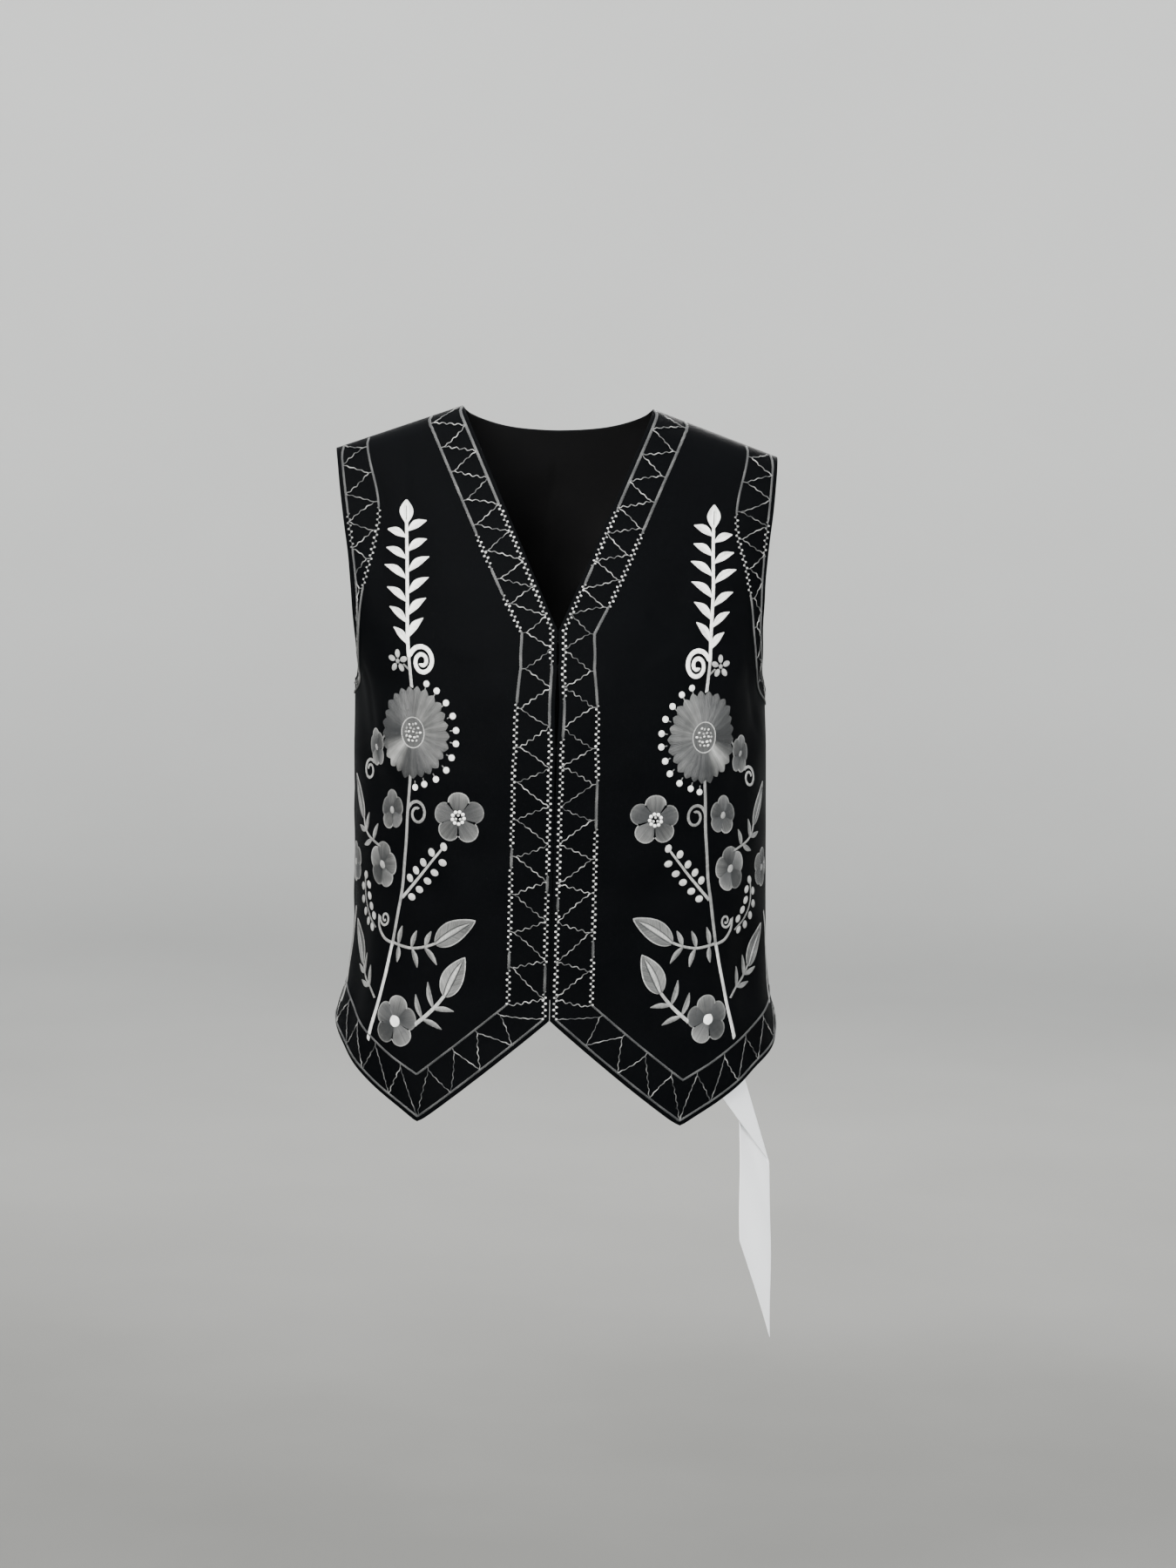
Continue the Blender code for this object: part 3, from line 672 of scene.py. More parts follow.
def clothShell(name, outer, normal, uv, thickness, material, lining=None):
    inner = outer - normal * thickness
    rings = np.concatenate([outer, inner[:, ::-1]], axis=1)
    ringUv = np.concatenate([uv, uv[:, ::-1]], axis=1).reshape(-1, 2)
    rows, ring = rings.shape[:2]
    width = outer.shape[1]
    a = (np.arange(rows - 1)[:, None] * ring + np.arange(ring)).ravel()
    b = (np.arange(rows - 1)[:, None] * ring + (np.arange(ring) + 1) % ring).ravel()
    quads = [np.stack([a, b, b + ring, a + ring], axis=1)]
    k = np.arange(width - 1)
    ends = np.stack([k, k + 1, ring - 2 - k, ring - 1 - k], axis=1)
    quads += [ends[:, ::-1], ends + (rows - 1) * ring]
    mesh = bpy.data.meshes.new(name)
    mesh.from_pydata(rings.reshape(-1, 3).tolist(), [], np.concatenate(quads).tolist())
    layer = mesh.uv_layers.new(name="cloth")
    corners = np.empty(len(mesh.loops), np.int32)
    mesh.loops.foreach_get("vertex_index", corners)
    layer.data.foreach_set("uv", ringUv[corners].astype(np.float32).ravel())
    made = meshObject(name, mesh)
    mesh.materials.append(material)
    if lining is not None:
        mesh.materials.append(lining)
        column = np.tile(np.arange(ring), rows - 1)
        inside = np.concatenate([(column >= width) & (column < ring - 1), np.zeros(2 * (width - 1), bool)])
        mesh.polygons.foreach_set("material_index", inside.astype(np.int32))
    soften = made.modifiers.new("edge", "BEVEL")
    soften.width = clothLook["edgeBevel"]
    soften.segments = 2
    soften.limit_method = "ANGLE"
    soften.angle_limit = math.radians(50)
    madePlain(made)
    made.data.shade_smooth()
    return made


def makeCloth():
    look = clothMaterial("wovenBlackCloth", clothLook)
    socketValue(look.surface, Sheen_Weight=0.004, Sheen_Roughness=0.4, Sheen_Tint=(0.55, 0.65, 0.8, 1.0))
    socketValue(look.surface, Specular_IOR_Level=0.03)
    lining = clothMaterial("blackLining", liningLook)
    socketValue(lining.surface, Specular_IOR_Level=0.08)
    finishes = (look.material, lining.material)
    made = []
    lower = garment["lowerRows"]
    for name, side in (("front_left", -1), ("front_right", 1)):
        face = faces[name]
        reach, drop = frontGrid(side)
        s = face.sAt(reach, drop)
        depth = depthAt("front", reach, drop, side)
        depth[: lower + 1, -1] = 0.0
        depth[-1] = 0.0
        points = np.stack([side * reach, -depth - garment["seamHalfGap"], -drop], axis=2)
        if side < 0:
            points, s, drop = points[:, ::-1], s[:, ::-1], drop[:, ::-1]
        normal = gridNormals(points)
        seams = np.zeros(s.shape, bool)
        seams[: lower + 1, -1 if side > 0 else 0] = True
        seams[-1] = True
        normal = seamFlat(normal, seams)
        points = points + normal * face.foldHeight(s, drop)[:, :, None]
        uv = np.stack([side * s, drop], axis=2)
        made.append(clothShell("cloth_" + name, points, normal, uv, garment["thickness"], *finishes))
    across, reach, drop = backGrid()
    side = np.sign(across)
    depth = depthAt("back", reach, drop, side)
    depth[: lower + 1, [0, -1]] = 0.0
    onShoulder = np.abs(across) >= garment["backNeckShare"] - 1e-9
    depth[-1, onShoulder] = 0.0
    points = np.stack([side * reach, depth + garment["seamHalfGap"], -drop], axis=2)
    s = np.zeros(reach.shape)
    height = np.zeros(reach.shape)
    for name, half in (("back_left", across < 0), ("back_right", across >= 0)):
        s[:, half] = faces[name].sAt(reach[:, half], drop[:, half])
        height[:, half] = faces[name].foldHeight(s[:, half], drop[:, half])
    points, height = points[:, ::-1], height[:, ::-1]
    uv = np.stack([(s * side)[:, ::-1], drop[:, ::-1]], axis=2)
    normal = gridNormals(points)
    seams = np.zeros(reach.shape, bool)
    seams[: lower + 1, [0, -1]] = True
    seams[-1] = onShoulder[::-1]
    normal = seamFlat(normal, seams)
    points = points + normal * height[:, :, None]
    made.append(clothShell("cloth_back", points, normal, uv, garment["thickness"], *finishes))
    return made


clothFrontLeft, clothFrontRight, clothBack = makeCloth()
print("cloth panels made")

# Threads and knots laid on the cloth, in millimetres of (s, d, lift)


class Needlework:
    # threads and knots for one front, gathered and then made in one go

    def __init__(self, seed):
        self.lines, self.knots = [], []
        self.random = np.random.default_rng(seed)

    def thread(self, points, lift, tone, thickness=1.0):
        points = np.asarray(points, float)
        count = len(points)
        columns = [np.broadcast_to(value, count) for value in (lift, tone, thickness)]
        self.lines.append(np.column_stack([points, *columns]))

    def knot(self, point, way, size, lift, tone):
        self.knots.append((*point, *way, *size, lift, tone))

    def uneven(self, spread):
        return float(self.random.uniform(-spread, spread))


def onFront(face, hang, s, drop, lift):
    # millimetres on the pattern to metres on the cloth, with the way this front hangs
    late = np.maximum(drop - hang["from"], 0.0)
    drop = drop + hang["down"] + hang["stretch"] * late
    return face.place((s + hang["across"]) / 1000, drop / 1000, lift / 1000)


def makeThreads(name, work, face, hang, finish, sides, radius):
    rows = np.concatenate(work.lines)
    points, _ = onFront(face, hang, rows[:, 0], rows[:, 1], rows[:, 2])
    counts = [len(line) for line in work.lines]
    starts = np.cumsum([0] + counts[:-1])
    pairs = [np.stack([a + np.arange(n - 1), a + np.arange(1, n)], axis=1) for a, n in zip(starts, counts)]
    mesh = bpy.data.meshes.new(name)
    mesh.from_pydata(points.tolist(), np.concatenate(pairs).tolist(), [])
    attribute(mesh, "tone", "FLOAT", rows[:, 3])
    attribute(mesh, "thickness", "FLOAT", rows[:, 4])
    values = {"Sides": sides, "Thread radius": radius, "Finish": finish}
    return runNodes(meshObject(name, mesh), trees["threads"], values)


def makeKnots(name, work, face, hang, finish, segments, rings):
    rows = np.array(work.knots)
    points, normal = onFront(face, hang, rows[:, 0], rows[:, 1], rows[:, 7])
    ahead, _ = onFront(face, hang, rows[:, 0] + rows[:, 2] * 0.5, rows[:, 1] + rows[:, 3] * 0.5, rows[:, 7])
    mesh = bpy.data.meshes.new(name)
    mesh.from_pydata(points.tolist(), [], [])
    attribute(mesh, "outward", "FLOAT_VECTOR", normal)
    attribute(mesh, "along", "FLOAT_VECTOR", ahead - points)
    attribute(mesh, "size", "FLOAT_VECTOR", rows[:, 4:7])
    attribute(mesh, "tone", "FLOAT", rows[:, 8])
    values = {"Segments": segments, "Rings": rings, "Stitch radius": 0.001, "Finish": finish}
    return runNodes(meshObject(name, mesh), trees["knots"], values)


def joined(name, parts):
    first = parts[0]
    with bpy.context.temp_override(active_object=first, selected_editable_objects=parts, object=first):
        bpy.ops.object.join()
    first.name = name
    first.data.name = name
    return first


def along(path, step):
    # even points along a path, with its directions
    path = np.asarray(path, float)
    run = np.concatenate([[0], np.cumsum(np.linalg.norm(np.diff(path, axis=0), axis=1))])
    count = max(int(round(run[-1] / step)), 1)
    at = np.linspace(0, run[-1], count + 1)
    points = np.column_stack([np.interp(at, run, path[:, k]) for k in (0, 1)])
    way = np.gradient(points, axis=0)
    return points, way / np.maximum(np.linalg.norm(way, axis=1, keepdims=True), 1e-9), run[-1]


def rounded(points, count=12):
    # a smooth line through given points
    points = np.asarray(points, float)
    ends = np.vstack([2 * points[0] - points[1], points, 2 * points[-1] - points[-2]])
    line = []
    for i in range(1, len(ends) - 2):
        a, b, c, d = ends[i - 1 : i + 3]
        for t in np.linspace(0, 1, count, endpoint=False):
            bend, twist = 2 * a - 5 * b + 4 * c - d, 3 * b - a - 3 * c + d
            line.append(0.5 * (2 * b + (c - a) * t + bend * t * t + twist * t**3))
    return np.array(line + [points[-1]])


def ringPoint(centre, radius, angle, squash=1.0):
    # a place, or places, round a centre on the pattern
    x, y = radius * np.cos(angle) * squash, radius * np.sin(angle)
    return np.stack([centre[0] + x, centre[1] + y], axis=-1)


satin = {"pitch": 0.53, "radius": 0.00031, "lean": 0.55, "lowest": 0.10, "sides": 5}


def satinColumn(work, path, width, tone, rise=0.45):
    # close threads across a line: a stem, a curl or a ring. Width is a number or a list from start to end.
    points, way, length = along(path, satin["pitch"])
    share = np.linspace(0, 1, len(points))
    given = np.atleast_1d(width)
    widths = np.interp(share, np.linspace(0, 1, len(given)), given)
    off = np.column_stack([-way[:, 1], way[:, 0]])
    for k in range(len(points)):
        half = widths[k] / 2 * (1 + work.uneven(0.06))
        lean = way[k] * half * satin["lean"]
        a = points[k] - off[k] * half - lean
        b = points[k] + off[k] * half + lean
        top = satin["lowest"] + rise * min(widths[k] / 2.6, 1.2)
        work.thread([a, points[k], b], [satin["lowest"], top, satin["lowest"]], tone + work.uneven(0.06))


def leafShape(base, tip, width, bend, fullest, sharp):
    # a leaf's middle line and half width by share of its length, the way off it and the length
    base, tip = np.asarray(base, float), np.asarray(tip, float)
    run = tip - base
    length = np.linalg.norm(run)
    off = np.array([-run[1], run[0]]) / length
    power = math.log(0.5) / math.log(fullest)

    def middle(t):
        return base + run * t + off * bend * length * math.sin(math.pi * t)

    def half(t):
        return width / 2 * math.sin(math.pi * min(t, 1.0) ** power) ** sharp

    return middle, half, off, length


ribForm = (0.45, 0.9, 1.0, 0.8, 0.2)  # a rib's width from the base of its leaf to its end


def satinLeaf(work, base, tip, width, tone, bend=0.0, fullest=0.42, rib=None, lean=0.9, sharp=0.8):
    # two halves of slanted threads from the middle line to the edge
    middle, half, off, length = leafShape(base, tip, width, bend, fullest, sharp)
    steps = max(int(length / satin["pitch"]), 4)
    for side in (-1, 1):
        for k in range(steps + 1):
            t = k / steps
            reach = half(t)
            if reach < 0.25:
                continue
            start = max(t - lean * reach / length, 0.0)
            a = middle(start)
            c = middle(t) + off * side * reach * (1 + work.uneven(0.03))
            b = (a + c) / 2
            top = satin["lowest"] + 0.5 * min(reach / 2.4, 1.0)
            # painted sheen: one half of each leaf is a little lighter than the other, as slanted satin
            # catches light
            shade = tone + work.uneven(0.05) + 0.05 * side
            work.thread([a, b, c], [satin["lowest"] + 0.22, top, satin["lowest"]], shade)
    if rib is not None:
        shares = np.linspace(0.02, rib["to"], 14)
        lens = rib["width"] * np.array(ribForm)
        satinColumn(work, [middle(t) for t in shares], lens, rib["tone"], rise=0.75)
        for side in (-1, 1):
            swell = np.interp(np.linspace(0, 1, len(shares)), np.linspace(0, 1, len(lens)), lens) / 2 + 0.35
            line = [middle(t) + off * side * w for t, w in zip(shares, swell)]
            work.thread(line, 0.62, rib["shadow"], 1.1)


def satinDot(work, centre, across, down, tone, turn=0.3, rise=0.6):
    # a small domed dot filled with parallel threads
    count = max(int(2 * across / satin["pitch"]), 3)
    cos, sin = math.cos(turn), math.sin(turn)

    def spot(x, y):
        return centre[0] + x * cos - y * sin, centre[1] + x * sin + y * cos

    for k in range(count + 1):
        u = -1 + 2 * k / count
        half = math.sqrt(max(1 - u * u, 0.04))
        points = [spot(across * u, down * half * v) for v in (-1, -0.4, 0.4, 1)]
        top = satin["lowest"] + rise * half
        work.thread(points, [satin["lowest"], top, top, satin["lowest"]], tone + work.uneven(0.05))
    angles = np.linspace(0, 2 * math.pi, 17)
    ring = [spot(across * 1.02 * math.cos(a), down * 1.02 * math.sin(a)) for a in angles]
    work.thread(ring, satin["lowest"] + 0.12, tone - 0.10, 0.9)


def spiral(curl):
    # points of a curl: start and end as angles in turns, clockwise on the pattern
    turns = curl.end - curl.start
    share = np.linspace(0, 1, max(int(abs(turns) * 36), 12))
    angle = 2 * math.pi * (curl.start + turns * share)
    return ringPoint(curl.centre, curl.outer + (curl.inner - curl.outer) * share**0.8, angle, curl.squash)


petalForm = {
    "count": 5,
    "widest": 0.60,  # where a petal is widest, as a share of the radius
    "nearBow": 0.75,
    "farBow": 0.85,
    "nearLift": 0.12,
    "dome": 0.42,
    "fade": (-0.22, -0.10, -0.02, 0.08),
    "rimWidth": 0.8,
    "rimTone": 0.19,
    "shortest": 0.8,
}


def flower(work, blossom):
    # separate petals of threads that run outwards, each with a raised pale rim, and a heart of knots
    radius, heart = blossom.radius, blossom.heart
    widest = radius * petalForm["widest"]
    wide = radius * blossom.full / 2
    for petal in range(petalForm["count"]):
        angle = blossom.turn + 2 * math.pi * petal / petalForm["count"] + work.uneven(0.06)
        cos, sin = math.cos(angle), math.sin(angle)
        reach = radius * (1 + work.uneven(0.05))

        def spot(r, u):
            x, y = (r * cos - u * sin) * blossom.squash, r * sin + u * cos
            return blossom.centre[0] + x, blossom.centre[1] + y

        def petalEdge(u):
            # near and far ends of the petal on the line u from its middle
            bow = math.sqrt(max(1 - (u / wide) ** 2, 0.0))
            near = widest - (widest - heart.radius * 0.5) * bow ** petalForm["nearBow"]
            return near, widest + (reach - widest) * bow ** petalForm["farBow"]

        count = int(2 * wide / satin["pitch"])
        shade = blossom.tone + 0.09 * math.sin(2.3 * petal + radius)
        for k in range(count + 1):
            u = wide * (-1 + 2 * k / count)
            near, far = petalEdge(u)
            if far - near < petalForm["shortest"]:
                continue
            dome = satin["lowest"] + petalForm["dome"] * (1 - 0.6 * (u / wide) ** 2)
            shares = (0, 0.3, 0.7, 1)
            line = [spot(near + (far - near) * v, u * (0.55 + 0.45 * min(v * 2, 1))) for v in shares]
            lift = [satin["lowest"] + petalForm["nearLift"], dome, dome, satin["lowest"]]
            fade = shade + np.array(petalForm["fade"]) + work.uneven(0.055)
            work.thread(line, lift, fade)
        across = [wide * math.sin(math.pi / 2 * t) for t in np.linspace(-1, 1, 23)]
        rim = [spot(petalEdge(u)[1], u) for u in across]
        satinColumn(work, rim, petalForm["rimWidth"], shade + petalForm["rimTone"], rise=0.5)
    heartKnots(work, blossom.centre, heart, blossom.squash)


def heartKnots(work, centre, heart, squash):
    if heart.beads:
        for k in range(heart.beads):
            angle = 2 * math.pi * k / heart.beads + 0.3
            point = ringPoint(centre, heart.radius, angle, squash)
            work.knot(point, (1, 0), (1.6, 1.6, 1.2), 0.8, heart.tone)
        for angle in (0.5, 2.6, 4.7):
            point = ringPoint(centre, 2.0, angle, squash)
            work.knot(point, (1, 0), (1.1, 1.1, 0.9), 0.75, 0.8)
    else:
        satinDot(work, centre, heart.radius * squash, heart.radius * 1.15, heart.tone, 0.5, rise=0.9)


def daisyToneWithPaintedSheen(daisy, angle):
    # painted satin sheen: the tone is brighter on one side, with a narrow painted highlight streak on another
    paintedStreak = max(math.cos(angle - daisy["paintedStreakWay"]), 0.0) ** daisy["paintedStreakPower"]
    side = daisy["sweep"] * math.cos(angle - daisy["paintedSheenWay"])
    return daisy["tone"] + side + daisy["second"] * paintedStreak


def daisyPetal(work, daisy, middle):
    # a dark ground of a few thick threads, and over it a fan of fine ones with a raised middle
    half = math.pi / daisy["petals"]
    length = daisy["radius"] * (1 + work.uneven(0.03))
    petalTone = work.uneven(0.05)
    for u in np.linspace(-0.84, 0.84, daisy["groundThreads"]):
        angle = middle + u * half
        far = length - abs(u) ** daisy["toothPower"] * daisy["tooth"] - daisy["groundShort"]
        points = ringPoint(daisy["centre"], np.linspace(daisy["disc"], far, 4), angle, daisy["squash"])
        # the ground threads carry the same painted sheen and painted highlight streak
        shade = daisyToneWithPaintedSheen(daisy, angle) + petalTone - 0.05
        work.thread(points, daisy["groundLift"], shade, daisy["groundThickness"])
    for k in range(daisy["threads"]):
        u = -1 + (2 * k + 1) / daisy["threads"]
        angle = middle + u * half
        far = length - abs(u) ** daisy["toothPower"] * daisy["tooth"]
        near = daisy["disc"] * daisy["starts"][k % 4]
        crown = daisy["crown"] * (1 - u * u)
        points = ringPoint(daisy["centre"], np.linspace(near, far, 5), angle, daisy["squash"])
        lift = satin["lowest"] + np.array([0.30, 0.22 + crown * 0.7, 0.15 + crown, 0.10 + crown, 0.0])
        # painted shade: threads at each petal's edges are darker, in the grooves between petals
        paintedGrooveShade = np.array(daisy["paintedGrooveShade"]) * abs(u) ** 2
        # painted sheen and painted highlight streak, by the thread's angle round the daisy
        tone = daisyToneWithPaintedSheen(daisy, angle) + petalTone
        work.thread(points, lift, tone + work.uneven(0.045) - paintedGrooveShade, 1.0)


def daisyDisc(work, daisy):
    # a dark filled disc with a corded ring and scattered seeds
    centre, disc, squash = daisy["centre"], daisy["disc"], daisy["squash"]
    for k in range(int(2 * disc / satin["pitch"]) + 1):
        u = -1 + k * satin["pitch"] / disc
        if abs(u) >= 0.98:
            continue
        half = disc * math.sqrt(1 - u * u)
        x = centre[0] + disc * u * squash
        line = [(x, centre[1] + half * v) for v in (-1, -0.4, 0.4, 1)]
        work.thread(line, 0.25, daisy["discTone"] + work.uneven(0.05))
    ring = ringPoint(centre, disc, np.linspace(0, 2 * math.pi, 60), squash)
    satinColumn(work, ring, 1.3, 0.70, rise=1.0)
    for row, place in ((row, place) for row in range(-3, 4) for place in range(-3, 4)):
        x = (place + 0.5 * (row % 2)) * daisy["seedGap"]
        y = row * daisy["seedGap"] * 0.86
        if math.hypot(x, y) > disc - daisy["seedInset"]:
            continue
        point = (centre[0] + (x + work.uneven(0.8)) * squash, centre[1] + y + work.uneven(0.8))
        turn = work.uneven(1.5)
        size = np.array(daisy["seed"]) * (1 + work.uneven(0.25))
        work.knot(point, (math.cos(turn), math.sin(turn)), size, 0.6, 0.76 + work.uneven(0.16))


def threadedDaisy(work, daisy):
    for petal in range(daisy["petals"]):
        daisyPetal(work, daisy, daisy["turn"] + petal * 2 * math.pi / daisy["petals"])
    daisyDisc(work, daisy)


# The embroidered design, one for both fronts, worked in mirror image

Leaf = namedtuple("Leaf", "base tip width tone bend")
Stem = namedtuple("Stem", "points width tone")
Blossom = namedtuple("Blossom", "centre radius turn full tone squash heart")
Heart = namedtuple("Heart", "radius tone beads")
Curl = namedtuple("Curl", "centre start end outer inner width tone squash")

frondPairs = (
    # down the stem: where each leaf leaves it, and where its tip lies from there
    {"outerAt": 104.5, "outer": (16.0, -6.0), "innerAt": 99.8, "inner": (-16.5, -8.8)},
    {"outerAt": 121.5, "outer": (17.5, -8.5), "innerAt": 115.5, "inner": (-16.8, -10.0)},
    {"outerAt": 137.4, "outer": (19.5, -10.5), "innerAt": 131.9, "inner": (-18.8, -12.5)},
    {"outerAt": 155.5, "outer": (18.0, -11.0), "innerAt": 149.0, "inner": (-18.4, -13.4)},
    {"outerAt": 172.0, "outer": (16.0, -12.0), "innerAt": 166.1, "inner": (-16.2, -14.4)},
    {"outerAt": 189.0, "outer": (12.5, -13.0), "innerAt": 183.9, "inner": (-13.8, -16.4)},
)

design = {
    "frondStem": (
        (127.2, 91.0), (127.6, 120.0), (127.9, 155.0), (128.0, 190.0), (126.0, 210.0), (124.6, 222.0),
    ),
    "daisy": {
        "centre": (122.0, 258.4),
        "radius": 37.4,
        "squash": 0.87,
        "petals": 25,
        "threads": 17,
        "tooth": 3.6,
        "turn": 0.1,
        "disc": 12.4,
        "discTone": 0.34,
        "tone": 0.325,
        # the next four keys paint satin sheen into the tone: one side brighter, and a narrow painted
        # highlight streak
        "sweep": 0.14,
        "paintedSheenWay": math.radians(215),
        "second": 0.52,
        "paintedStreakWay": math.radians(42),
        "seedGap": 3.9,
        "seedInset": 2.4,
        "seed": (1.3, 0.95, 0.8),
        # how narrow the painted highlight streak is
        "toothPower": 1.3,
        "paintedStreakPower": 14,
        "crown": 0.62,
        "starts": (1.7, 1.0, 2.3, 1.0),  # where the threads begin, in turn, in radii of the disc
        "groundThreads": 7,
        "groundShort": 1.6,
        "groundLift": (0.24, 0.30, 0.32, 0.10),
        "groundThickness": (1.2, 1.9, 2.5, 2.2),
        # painted shade in the grooves between petals, from the disc outwards
        "paintedGrooveShade": (0.02, 0.06, 0.12, 0.14, 0.08),
    },
    "dots": (
        (110.7, 218.5), (101.5, 223.5), (93.1, 232.5), (86.9, 242.6), (83.8, 254.0), (83.7, 264.8),
        (87.1, 276.3), (91.3, 286.6), (100.0, 294.6), (110.2, 299.4), (118.6, 302.6),
    ),
    "stems": (
        Stem(
            ((123.6, 294.0), (124.1, 303.0), (126.2, 341.0), (129.7, 378.0), (137.5, 432.0)),
            (2.4, 2.6), 0.55,
        ),
        Stem(((137.5, 431.0), (147.6, 473.0), (158.0, 511.5)), (2.6, 3.2), 0.78),
        Stem(((129.8, 393.0), (122.9, 385.3), (108.0, 368.3), (94.0, 351.4)), (2.4, 1.6), 0.66),
        Stem(
            ((137.4, 430.5), (127.0, 432.5), (117.2, 433.2), (106.0, 431.0), (97.3, 427.7)),
            (2.0, 1.9), 0.62,
        ),
        Stem(((112.5, 494.5), (104.0, 487.0), (96.0, 479.0), (88.0, 469.0)), (3.0, 2.4), 0.68),
        Stem(((155.0, 478.0), (163.0, 470.0), (172.0, 463.5), (180.5, 453.8)), (2.0, 1.8), 0.55),
        Stem(
            ((148.0, 356.5), (160.4, 352.3), (172.8, 347.0), (179.0, 341.0), (181.9, 334.3)),
            (1.8, 1.7), 0.60,
        ),
        Stem(((139.4, 431.0), (147.5, 428.0), (154.5, 420.0), (155.5, 411.0)), (2.2, 2.2), 0.62),
        Stem(((160.0, 421.5), (172.0, 413.0), (179.0, 400.0), (178.5, 384.0)), (1.6, 1.5), 0.5),
        Stem(((208.0, 412.0), (213.0, 438.0), (216.0, 466.0), (217.0, 490.0)), (1.8, 2.4), 0.60),
        Stem(((143.5, 254.5), (151.0, 262.0), (156.0, 268.5)), (1.6, 1.5), 0.45),
    ),
    "curls": (
        Curl((115.0, 201.0), -0.06, -1.85, 13.6, 2.4, 3.7, 0.98, 0.88),
        Curl((115.8, 323.5), -0.02, -1.30, 11.4, 4.2, 2.4, 0.55, 0.82),
        Curl((177.0, 295.0), 0.62, 1.95, 9.6, 3.6, 2.2, 0.62, 0.85),
        Curl((148.0, 412.5), -0.02, 1.35, 7.0, 1.6, 1.9, 0.62, 0.9),
    ),
    "floret": {"centre": (138.3, 202.4), "ring": 6.1, "petal": (2.0, 3.1), "count": 5, "tone": 0.70},
    "blossoms": (
        Blossom((80.2, 324.5), 20.8, -1.55, 0.82, 0.36, 1.0, Heart(4.9, 0.98, 9)),
        Blossom((143.0, 323.5), 15.5, -1.45, 0.94, 0.33, 0.85, Heart(3.0, 0.58, 0)),
        Blossom((152.0, 369.0), 18.6, -1.75, 0.94, 0.36, 0.82, Heart(3.5, 0.60, 0)),
        Blossom((164.5, 274.5), 15.5, -1.35, 0.94, 0.35, 0.72, Heart(2.8, 0.55, 0)),
        Blossom((200.0, 373.5), 16.0, -1.30, 0.94, 0.33, 0.9, Heart(3.0, 0.55, 0)),
        Blossom((130.1, 493.6), 19.8, -1.70, 0.88, 0.34, 0.95, Heart(4.6, 0.95, 0)),
    ),
    "leaves": (
        Leaf((97.6, 428.2), (64.4, 407.2), 17.5, 0.44, 0.03),
        Leaf((88.4, 470.0), (72.3, 437.8), 17.5, 0.47, 0.03),
        Leaf((181.0, 454.5), (199.5, 420.8), 13.0, 0.40, -0.02),
        Leaf((181.9, 335.0), (204.0, 301.5), 10.5, 0.42, -0.02),
    ),
    "sprigLeaves": (
        # small leaves of the twigs: base and tip
        ((106.5, 431.2), (101.0, 417.5)), ((107.5, 431.4), (95.5, 446.0)),
        ((118.5, 433.0), (114.0, 418.0)), ((118.0, 433.4), (112.5, 449.5)),
        ((131.0, 432.0), (128.0, 415.5)), ((131.0, 432.2), (132.0, 447.0)),
        ((97.5, 481.0), (103.0, 458.5)), ((98.0, 481.0), (79.5, 482.0)),
        ((107.0, 489.5), (113.0, 469.5)), ((107.0, 490.0), (89.5, 497.5)),
        ((163.0, 470.0), (163.5, 452.0)), ((164.0, 470.0), (181.0, 467.0)),
        ((174.0, 462.0), (173.0, 443.5)), ((175.0, 461.0), (190.5, 455.5)),
        ((164.0, 351.0), (159.5, 336.0)), ((175.5, 345.5), (173.0, 328.5)),
        ((176.0, 344.5), (191.0, 341.5)), ((166.0, 350.0), (179.0, 356.5)),
    ),
    "berries": (
        (92.0, 348.8), (102.5, 354.1), (110.0, 362.9), (117.0, 370.1), (123.1, 377.0), (92.6, 361.7),
        (99.8, 370.5), (106.5, 378.0), (114.0, 385.6), (121.0, 392.2),
    ),
    "chain": (
        (177.0, 381.0), (172.6, 388.5), (183.0, 391.0), (172.0, 397.5), (184.5, 402.0), (168.5, 405.5),
        (180.5, 411.5), (163.5, 412.5), (174.0, 418.5), (165.5, 422.0),
    ),
}


leafFullest = 0.4  # share of a large leaf's length at which it is widest


frondLeaf = {"width": 6.2, "tone": 0.97, "fullest": 0.5, "sharp": 1.25}


def frond(work):
    stem = rounded(design["frondStem"])
    satinColumn(work, stem[stem[:, 1] < 199], (2.4, 2.8), 0.97)
    satinColumn(work, stem[stem[:, 1] > 198], (2.4, 2.6), 0.74)
    for side in (-1, 1):
        satinLeaf(work, (127.3 + side * 0.6, 93.5), (127.3, 73.5), bend=side * 0.11, **frondLeaf)
    work.thread([(127.3, 90.0), (127.3, 79.5)], 0.75, 0.10, 1.0)
    for pair in frondPairs:
        for side in ("outer", "inner"):
            at = pair[side + "At"]
            base = np.array([np.interp(at, stem[:, 1], stem[:, 0]), at])
            tip = base + np.array(pair[side]) * 1.08
            bend = 0.09 if side == "inner" else -0.09
            satinLeaf(work, base, tip, bend=bend, lean=0.7, **frondLeaf)
    floret = design["floret"]
    for k in range(floret["count"]):
        angle = -math.pi / 2 + 2 * math.pi * k / floret["count"]
        spot = ringPoint(floret["centre"], floret["ring"], angle)
        satinDot(work, spot, *floret["petal"], floret["tone"], angle - math.pi / 2)
        satinColumn(work, [floret["centre"], spot], 0.8, 0.42, rise=0.3)
    satinDot(work, floret["centre"], 1.6, 1.6, 0.6)
    satinColumn(work, [(132.4, 204.5), (127.0, 208.5)], 1.3, 0.55)


